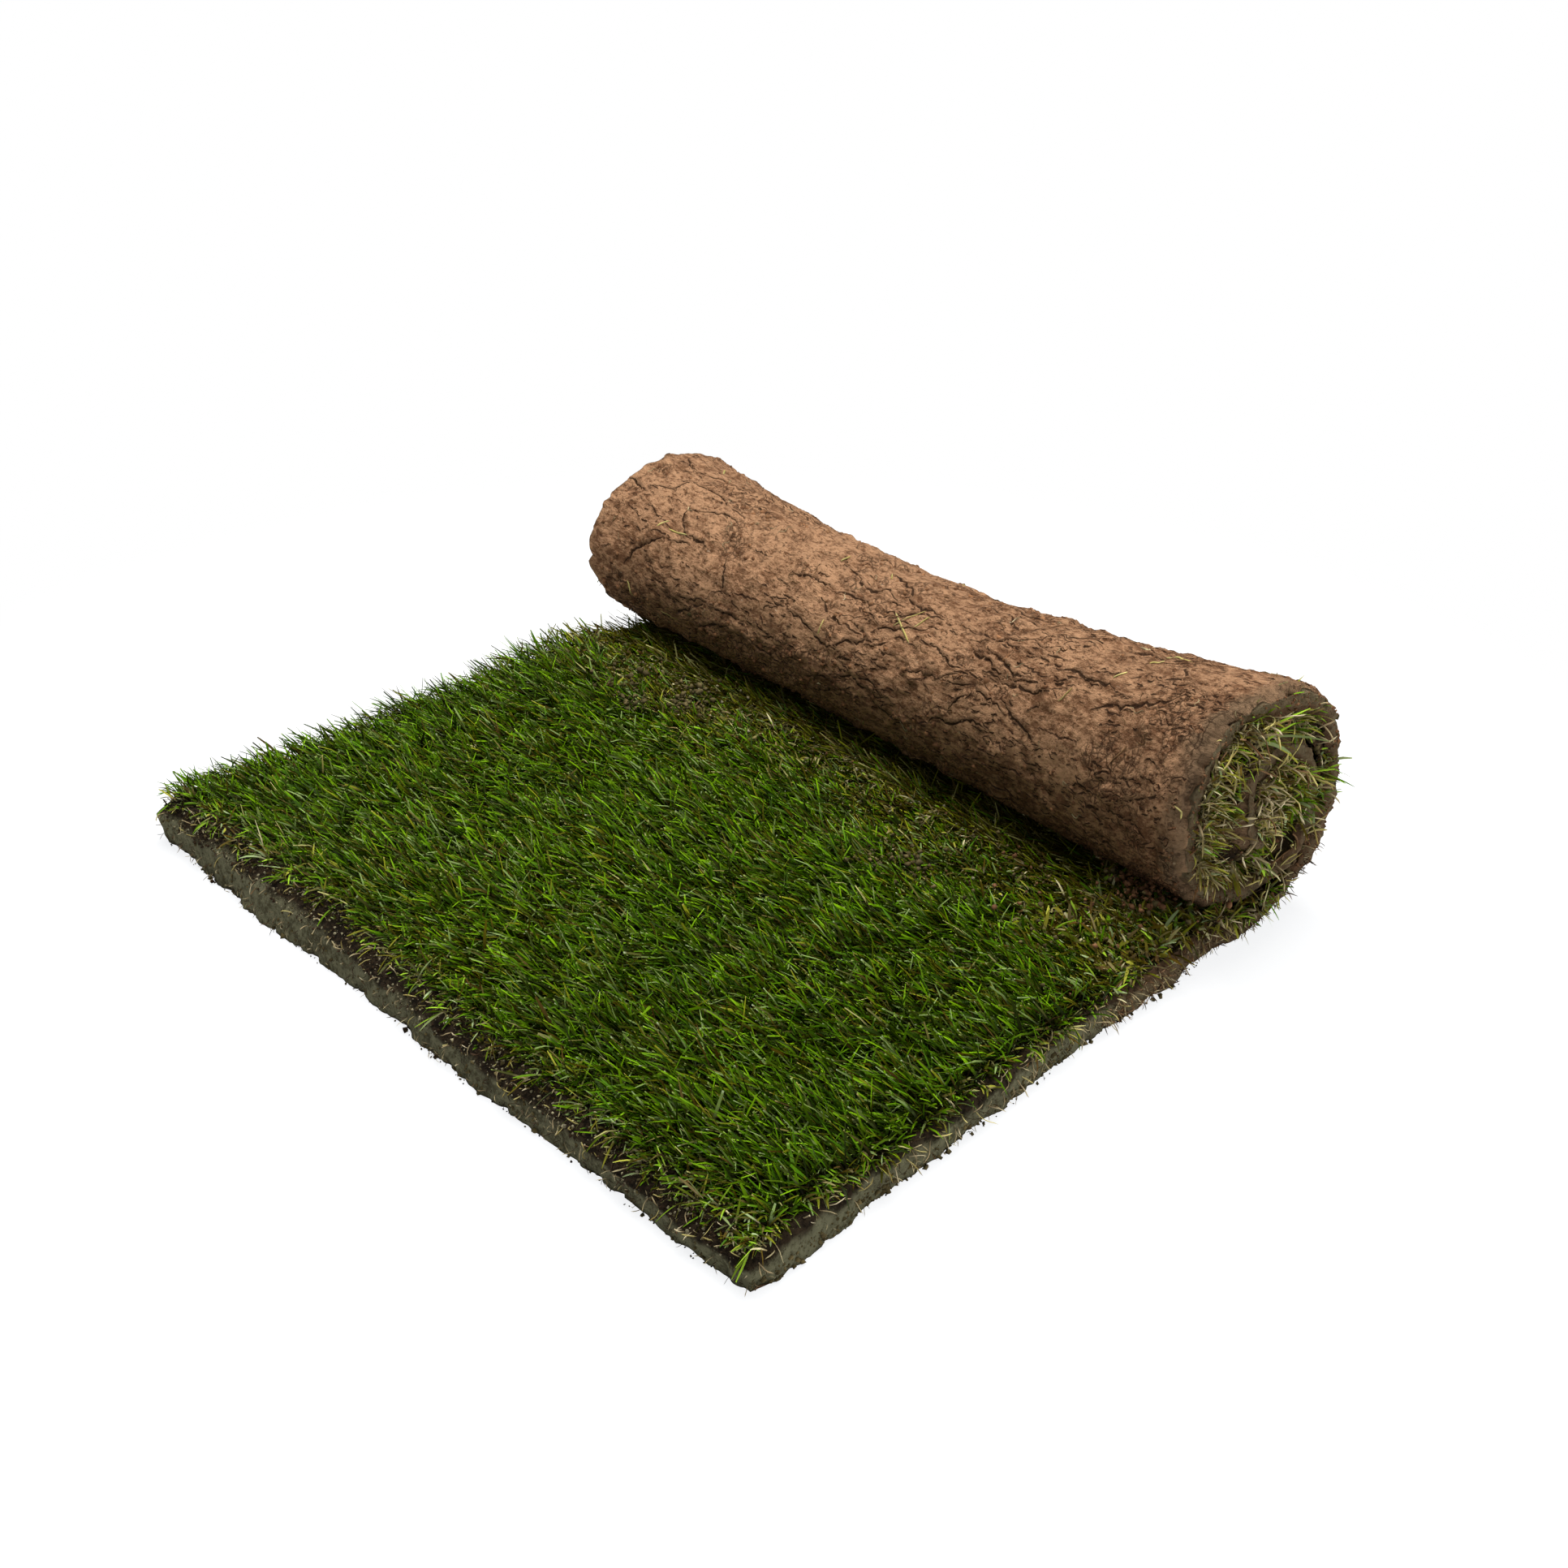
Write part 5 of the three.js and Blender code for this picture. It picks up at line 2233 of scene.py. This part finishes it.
        return (
            np.where(turned, -offset[..., ::-1], offset),
            np.where(turned, height[..., ::-1], height),
            np.where(turned, gap[..., ::-1], gap),
        )

    def crack_strips(self, kind: CrackKind) -> Shell:
        """Strips that follow the coil's outside along its cracks.

        Args:
            kind: the lot.

        Returns:
            The strips, whose `gap` mark is 1 in the gap, which the finish draws in painted shade.
        """
        low, high = self.form.run(self.form.wound_station(np.array([0.25, 1.0])))
        run, y = self.crack_paths(kind, low, high)
        offset, height, gap = self.crack_sections(kind)
        square = np.arctan2(np.gradient(run, axis=1), np.gradient(y, axis=1))[..., None]
        run = run[..., None] + offset * np.cos(square)
        y = np.clip(y[..., None] - offset * np.sin(square), -304.0, 304.0)
        tone = self.mat.relief.outside(run, y)["tone"]
        marks = {"tone": tone, "gap": gap, "run": run * MM, "side": y * MM}
        columns = offset.shape[2]
        faces = repeated(grid_faces(kind.steps, columns), kind.steps * columns, kind.count)
        uv = places((run - low + 30.0) / (high - low + 60.0), y / 640.0 + 0.5)
        return Shell.of(self.on_coil(run, y, height), faces, uv, marks)

    def build_coil_threads(self) -> None:
        """Fine roots and a few straws that lie on the coil's outside."""
        count = 170
        rng = np.random.default_rng(self.seed)
        low, high = self.form.run(self.form.wound_station(np.array([0.2, 0.95])))
        start_run, start_y = rng.uniform(low, high, count), rng.uniform(-295.0, 295.0, count)
        straw = rng.random(count) < 0.16
        turn = rng.uniform(0.0, 2.0 * np.pi, count)
        bend = np.where(straw, 0.1, 1.6) * rng.normal(size=count)
        length = np.where(straw, rng.uniform(10.0, 24.0, count), rng.uniform(5.0, 17.0, count))
        named = np.array(self.straws)
        first = slice(len(named))
        ahead, across = named[:, 2] - named[:, 0], named[:, 3] - named[:, 1]
        start_run[first], start_y[first] = named[:, 0], named[:, 1]
        straw[first], bend[first] = True, 0.05
        turn[first], length[first] = np.arctan2(across, ahead), np.hypot(ahead, across)
        mark = np.linspace(0.0, 1.0, 9)
        wave = np.where(straw, 0.0, 0.8)[:, None] * np.sin(9.0 * mark + turn[:, None])
        angle = turn[:, None] + bend[:, None] * mark + wave
        step = (length / 8.0)[:, None]
        run = start_run[:, None] + np.cumsum(np.cos(angle) * step, axis=1)
        y = np.clip(start_y[:, None] + np.cumsum(np.sin(angle) * step, axis=1), -300.0, 300.0)
        radius = np.where(straw, rng.uniform(0.55, 0.9, count), rng.uniform(0.22, 0.42, count))
        kinds = {
            Kind.PALE_ROOT: np.where(straw, 0.1, 0.8),
            Kind.TAN_ROOT: np.where(straw, 0.1, 0.5),
            Kind.GREEN_STEM: np.where(straw, 1.0, 0.03),
        }
        shell = tubes(self.on_coil(run, y, 0.35), radius, mixed_columns(rng, kinds, count))
        self.shop.place("coil_roots_and_straws", shell, THREADS)

    def threads(self, name: str, root: Array, heading: Array, style: ThreadStyle) -> None:
        """A piece of wandering threads.

        Args:
            name: the piece's name.
            root: where the threads start.
            heading: their first directions.
            style: what they are like.
        """
        rng = self.rng
        count = len(root)
        path = wandering(rng, root, heading, style)
        path[..., 1] = np.maximum(path[..., 1], self.furthest)
        if style.columns_first:
            column = mixed_columns(rng, style.kinds, count)
            radius = rng.uniform(*style.radius, count)
        else:
            radius = rng.uniform(*style.radius, count)
            column = mixed_columns(rng, style.kinds, count)
        self.shop.place(name, tubes(path, radius, column), THREADS)

    def build_edge_threads(self) -> None:
        """Stolons and hair roots that hang from the right cut edge and the cut end."""
        form = self.form
        rng = self.rng = np.random.default_rng(self.seed + 1)
        count = 170
        station = form.station_at(rng.uniform(0.0, form.flat_length - 10.0, count))
        root = form.point(station, 0.002, rng.uniform(0.6, 1.0, count))
        heading = places(rng.normal(0.0, 0.8, count), -0.9, rng.uniform(-0.3, 0.7, count))
        kinds = {Kind.PALE_ROOT: 1.0, Kind.GREEN_STEM: 0.3}
        style = ThreadStyle((6.0, 17.0), (0.22, 0.48), 0.3, 0.3, 8, kinds, columns_first=True)
        self.threads("right_edge_stolons", root, heading, style)
        count = 520
        along, station = self.at_foot(count, 0.45)
        share = np.where(along, 0.001, rng.random(count))
        root = form.point(station, share, rng.uniform(0.15, 0.7, count))
        outward = np.where(along[:, None], np.array([0.0, -1.0, -0.3]), np.array([-1.0, 0.0, -0.3]))
        heading = outward + 0.7 * rng.normal(size=(count, 3))
        kinds = {Kind.PALE_ROOT: 0.8, Kind.TAN_ROOT: 0.05, Kind.DARK_ROOT: 0.9}
        style = ThreadStyle((3.0, 9.0), (0.14, 0.26), 0.35, 0.12, 5, kinds)
        self.threads("hair_roots", root, heading, style)
        count = 260
        root = self.on_cut(0.0, rng.uniform(0.005, 0.995, count), rng.uniform(0.6, 1.0, count))
        heading = rng.normal(size=(count, 3)) * np.array([1.0, 1.0, 0.5]) + np.array([-0.6, 0.0, 0.35])
        kinds = {Kind.PALE_ROOT: 1.0, Kind.TAN_ROOT: 0.05, Kind.GREEN_STEM: 0.6, Kind.DARK_ROOT: 0.5}
        style = ThreadStyle((3.0, 11.0), (0.2, 0.5), 0.25, 0.08, 6, kinds)
        self.threads("cut_end_stems", root, heading, style)

    def build_end_threads(self) -> None:
        """Stolons, stems and fuzz at the coil's right end."""
        form = self.form
        rng = self.rng = np.random.default_rng(self.seed + 2)
        count = 340
        first_turn = rng.random(count) < 0.6
        t = np.where(first_turn, rng.uniform(0.5, 0.86, count), rng.uniform(1.0, form.turns, count))
        station = form.wound_station(t)
        share = rng.uniform(0.0, 0.01, count)
        level = rng.uniform(0.75, 1.0, count)
        up = form.directions(station, share, level)[2]
        heading = 0.8 * up + np.array([0.2, -0.7, 0.25]) + 0.5 * rng.normal(size=(count, 3))
        root = form.point(station, share, level)
        root[:, 1] += self.mat.side_shift(share, t) - 3.0
        kinds = {Kind.PALE_ROOT: 1.0, Kind.TAN_ROOT: 0.4, Kind.GREEN_STEM: 0.8}
        style = ThreadStyle((8.0, 26.0), (0.35, 0.85), 0.3, 0.03, 9, kinds)
        self.threads("right_end_stolons", root, heading, style)
        filling = self.mat.filling.points
        count = 260
        order = np.argsort(filling[:, 0])
        root = filling[order[(rng.random(count) ** 1.7 * len(order)).astype(int)]]
        heading = np.array([0.45, -0.35, 0.5]) + 0.4 * rng.normal(size=(count, 3))
        kinds = {Kind.PALE_ROOT: 1.0, Kind.GREEN_STEM: 0.5}
        style = ThreadStyle((9.0, 26.0), (0.45, 1.0), 0.2, 0.12, 7, kinds, columns_first=True)
        self.threads("right_end_stems", root, heading, style)
        count = 600
        root = self.on_cut(rng.uniform(330.0, 560.0, count), 0.0, rng.uniform(0.1, 1.0, count))
        heading = np.array([0.0, -1.0, 0.1]) + 0.8 * rng.normal(size=(count, 3))
        kinds = {Kind.PALE_ROOT: 0.6, Kind.TAN_ROOT: 1.4, Kind.DARK_ROOT: 0.5}
        style = ThreadStyle((3.0, 8.0), (0.2, 0.4), 0.35, 0.1, 4, kinds)
        self.threads("fuzz_under_right_end", root, heading, style)

    def build_lumps(self) -> None:
        """Crumbs on the coil, in the sward, along the cut faces and on the ground beside them."""
        self.rng = np.random.default_rng(self.seed + 3)
        self.coil_lumps()
        self.edge_lumps()
        self.right_end_lumps()
        self.sward_lumps()
        self.cut_end_lumps()

    def coil_lumps(self) -> None:
        """Crumbs on the coil's outside, most where it is crumbled."""
        rng = self.rng
        tried = 10500
        low, high = self.form.run(self.form.wound_station(np.array([0.3, 0.97])))
        run, y = rng.uniform(low, high, tried), rng.uniform(-298.0, 298.0, tried)
        likely = 0.04 + 0.5 * self.mat.relief.outside(run, y)["crack"] + 0.4 * smoothstep(run, 790.0, 830.0)
        kept = rng.random(tried) < likely
        run, y = run[kept], y[kept]
        size = (0.5 + 2.6 * rng.random(len(run)) ** 3) * (1.0 - 0.35 * smoothstep(-y, 120.0, 230.0))
        column = Kind.DRY_LUMP.columns(rng, len(run))
        crumbs = lumps(rng, self.on_coil(run, y, -0.2 * size), size, column)
        self.shop.place("coil_crumbs", crumbs, CRUMBS)

    def edge_lumps(self) -> None:
        """Crumbs on the ground at the foot of the cuts, and clods that cling to the right cut edge."""
        rng = self.rng
        count = 150
        along, station = self.at_foot(count, 0.5)
        foot = self.form.point(station, np.where(along, 0.0, rng.random(count)), 0.0)
        size = 0.6 + 2.0 * rng.random(count) ** 4
        away = np.where(along[:, None], np.array([0.0, -1.0, 0.0]), np.array([-1.0, 0.0, 0.0]))
        foot = foot + away * (np.minimum(rng.exponential(1.2, count), 2.5) - 0.5)[:, None]
        foot[:, 2] = 0.5 * size
        column = mixed_columns(rng, {Kind.CLAY_LUMP: 1.0, Kind.DARK_LUMP: 0.2}, count)
        self.shop.place("ground_crumbs", lumps(rng, foot, size, column), CRUMBS)
        count = 260
        clinging = self.on_cut(rng.uniform(0.0, 300.0, count), 0.0, rng.uniform(0.0, 0.5, count))
        size = 0.7 + 1.7 * rng.random(count) ** 3
        clods = lumps(rng, clinging, size, Kind.CLAY_LUMP.columns(rng, count))
        self.shop.place("right_edge_clods", clods, CRUMBS)

    def right_end_lumps(self) -> None:
        """Crumbs in the matted right end of the coil and along its rim."""
        rng = self.rng
        points = self.mat.filling.points
        count = 900
        chosen = rng.integers(0, len(points), count)
        size = 0.8 + 2.4 * rng.random(count) ** 2
        kinds = {Kind.DRY_LUMP: 0.35, Kind.CLAY_LUMP: 0.6, Kind.DARK_LUMP: 1.0}
        matted = lumps(rng, points[chosen], size, mixed_columns(rng, kinds, count))
        self.shop.place("right_end_crumbs", matted, CRUMBS)
        count = 700
        along = rng.uniform(*self.form.run(self.form.wound_station(np.array([0.0, 1.0]))), count)
        rim = self.on_cut(along, 0.0, rng.uniform(0.25, 1.0, count))
        size = 0.4 + 1.1 * rng.random(count) ** 2
        column = mixed_columns(rng, {Kind.DRY_LUMP: 1.0, Kind.CLAY_LUMP: 0.3}, count)
        self.shop.place("right_rim_crumbs", lumps(rng, rim, size, column), CRUMBS)

    def sward_lumps(self) -> None:
        """Heaps of clods in the sward, and debris that fell off the coil in front of it."""
        rng = self.rng
        count = 620
        heaps = np.array(self.heaps)
        chosen = rng.choice(len(heaps), count, p=heaps[:, 3])
        last = chosen == len(heaps) - 1
        place = heaps[chosen, :2] + rng.normal(size=(count, 2)) * heaps[chosen, 2:3] * np.array([0.55, 0.8])
        size = 0.5 + 2.4 * rng.random(count) ** 2
        centre = places(place[:, 0], place[:, 1], 35.5 + 5.0 * last + rng.normal(0.0, 2.5, count))
        column = mixed_columns(rng, {Kind.CLAY_LUMP: 1.0, Kind.DRY_LUMP: 3.0 * last}, count)
        self.shop.place("clods_in_sward", lumps(rng, centre, size, column), CRUMBS)
        count = 560
        y = -292.0 + 590.0 * rng.random(count) ** 1.1
        x = self.form.nose_x(y) - 4.0 - rng.exponential(28.0, count) - self.form.flat_length / 2.0
        brown = fall(y, -190.0, -110.0)
        centre = places(x, y, 33.5 + 3.0 * brown + rng.normal(0.0, 2.5, count))
        size = (0.5 + 1.5 * rng.random(count) ** 2) * (0.75 + 0.35 * brown)
        kinds = {Kind.DRY_LUMP: 0.1 + 0.25 * brown, Kind.CLAY_LUMP: 0.8, Kind.FLECK: 0.4 * (1.0 - brown)}
        column = mixed_columns(rng, kinds, count)
        self.shop.place("debris_before_coil", lumps(rng, centre, size, column), CRUMBS)

    def cut_end_lumps(self) -> None:
        """Crumbs on the cut end, most of them in its rooty upper part."""
        rng = self.rng
        count = 2100
        low = rng.random(count) < 0.12
        level = np.where(low, rng.uniform(0.02, 0.6, count), rng.uniform(0.6, 1.0, count))
        centre = self.on_cut(0.0, rng.uniform(0.002, 0.998, count), level)
        kinds = {Kind.FLECK: 1.0 * ~low, Kind.CLAY_LUMP: 0.4 + 2.0 * low, Kind.DARK_LUMP: 0.9 * ~low}
        column = mixed_columns(rng, kinds, count)
        size = (0.4 + 1.4 * rng.random(count) ** 2) * np.where(column > 0.9, 0.75, 1.0)
        self.shop.place("cut_end_crumbs", lumps(rng, centre, size, column), CRUMBS)


# ------------------------------------------------------------------ room, lights and camera


@dataclass(frozen=True)
class Lamp:
    """A soft square lamp."""

    name: str
    power: float  # in watts
    size: float  # of a side, in metres
    place: tuple[float, float, float]
    turn: tuple[float, float, float]  # degrees about X, Y and Z; unturned it shines down

    def build(self) -> None:
        """Makes the lamp."""
        light = bpy.data.lights.new(self.name, "AREA")
        light.shape = "SQUARE"
        light.size = self.size
        light.energy = self.power
        light.color = (1.0, 0.985, 0.96)
        lamp = bpy.data.objects.new(self.name, light)
        lamp.location = self.place
        lamp.rotation_euler = tuple(math.radians(angle) for angle in self.turn)
        bpy.context.scene.collection.objects.link(lamp)


@dataclass(frozen=True)
class Studio:
    """A pale floor, one large soft lamp above, a weak one at the right, and the camera."""

    softbox: Lamp = Lamp("softbox", 33.0, 1.3, (0.25, 0.1, 1.5), (-4.0, 9.0, 0.0))
    side_softbox: Lamp = Lamp("side_softbox", 5.5, 0.9, (0.4, -1.5, 0.7), (66.0, 0.0, 6.0))
    sky: float = 0.2
    floor_reach: float = 12.0
    floor_level: float = -0.0004
    shadow_reach: tuple[float, float] = (0.45, 0.8)  # where the seen floor turns to plain white

    def build(self) -> None:
        """Makes the floor, the world, the lamps and the camera."""
        self.floor()
        self.world()
        self.softbox.build()
        self.side_softbox.build()
        self.camera()

    def floor(self) -> None:
        """A wide floor at the object's underside that stays white and keeps the shadow."""
        mesh = bpy.data.meshes.new("floor")
        reach, level = self.floor_reach, self.floor_level
        sides = ((-reach, -reach), (reach, -reach), (reach, reach), (-reach, reach))
        mesh.from_pydata([(*side, level) for side in sides], [], [(0, 1, 2, 3)])
        floor = bpy.data.objects.new("floor", mesh)
        bpy.context.scene.collection.objects.link(floor)
        material = bpy.data.materials.new("floor")
        material.use_nodes = True
        wires = Wiring(material.node_tree)
        plain = wires.add("BsdfDiffuse", {"Color": (0.8, 0.8, 0.8, 1.0)})
        seen = wires.add("BsdfDiffuse", {"Color": (0.26, 0.26, 0.26, 1.0)})
        glow = wires.add("Emission", {"Color": (0.975, 0.985, 1.0, 1.0), "Strength": 0.85})
        near = wires.add("AddShader", {0: seen.outputs[0], 1: glow.outputs[0]})
        place = wires.add("TexCoord").outputs["Object"]
        away = wires.add("VectorMath", {0: place}, operation="LENGTH").outputs["Value"]
        white = wires.add("Emission", {"Color": (1.0, 1.0, 1.0, 1.0), "Strength": 1.0})
        both = wires.choice(wires.fit(away, *self.shadow_reach), near, white)
        choice = wires.choice(wires.seen_directly(), plain, both)
        wires.add("OutputMaterial", {"Surface": choice.outputs[0]})
        mesh.materials.append(material)

    def world(self) -> None:
        """An even sky, white where it is seen."""
        world = bpy.data.worlds.new("studio")
        bpy.context.scene.world = world
        world.use_nodes = True
        wires = Wiring(world.node_tree)
        light = wires.add("Background", {"Color": (0.95, 0.98, 1.0, 1.0), "Strength": self.sky})
        white = wires.add("Background", {"Color": (1.0, 1.0, 1.0, 1.0), "Strength": 1.0})
        choice = wires.choice(wires.seen_directly(), light, white)
        wires.add("OutputWorld", {"Surface": choice.outputs[0]})

    def camera(self) -> None:
        """The camera, above the near corner."""
        lens = bpy.data.cameras.new("camera")
        lens.lens = 41.141
        lens.sensor_width = 36.0
        lens.clip_start = 0.05
        lens.clip_end = 50.0
        camera = bpy.data.objects.new("camera", lens)
        camera.location = (-0.6822, -0.7865, 0.6959)
        camera.rotation_euler = (math.radians(59.221), 0.0, math.radians(-44.490))
        bpy.context.scene.collection.objects.link(camera)
        bpy.context.scene.camera = camera
        bpy.context.scene.view_settings.view_transform = "Standard"


# ------------------------------------------------------------------ the whole roll


def main() -> None:
    """Builds the room, the soil and the grass in turn."""
    logging.basicConfig(level=logging.INFO, format="%(message)s")
    form = StripForm()
    LOG.info("%.3f turns in the coil", form.turns)
    Studio().build()
    shop = Workshop()
    soil = SoilMat(form, shop)
    soil.build()
    sward = Sward(form, shop)
    sward.build_flat()
    sward.build_under_coil()
    sward.build_tufts(soil.filling)
    sward.build_right_overhang()
    sward.build_end_fringe()
    scatter = Scatter(soil, shop)
    scatter.build_cracks()
    scatter.build_coil_threads()
    scatter.build_edge_threads()
    scatter.build_end_threads()
    scatter.build_lumps()
    LOG.info("%d triangles in all", shop.triangles)


if __name__ == "__main__":
    main()
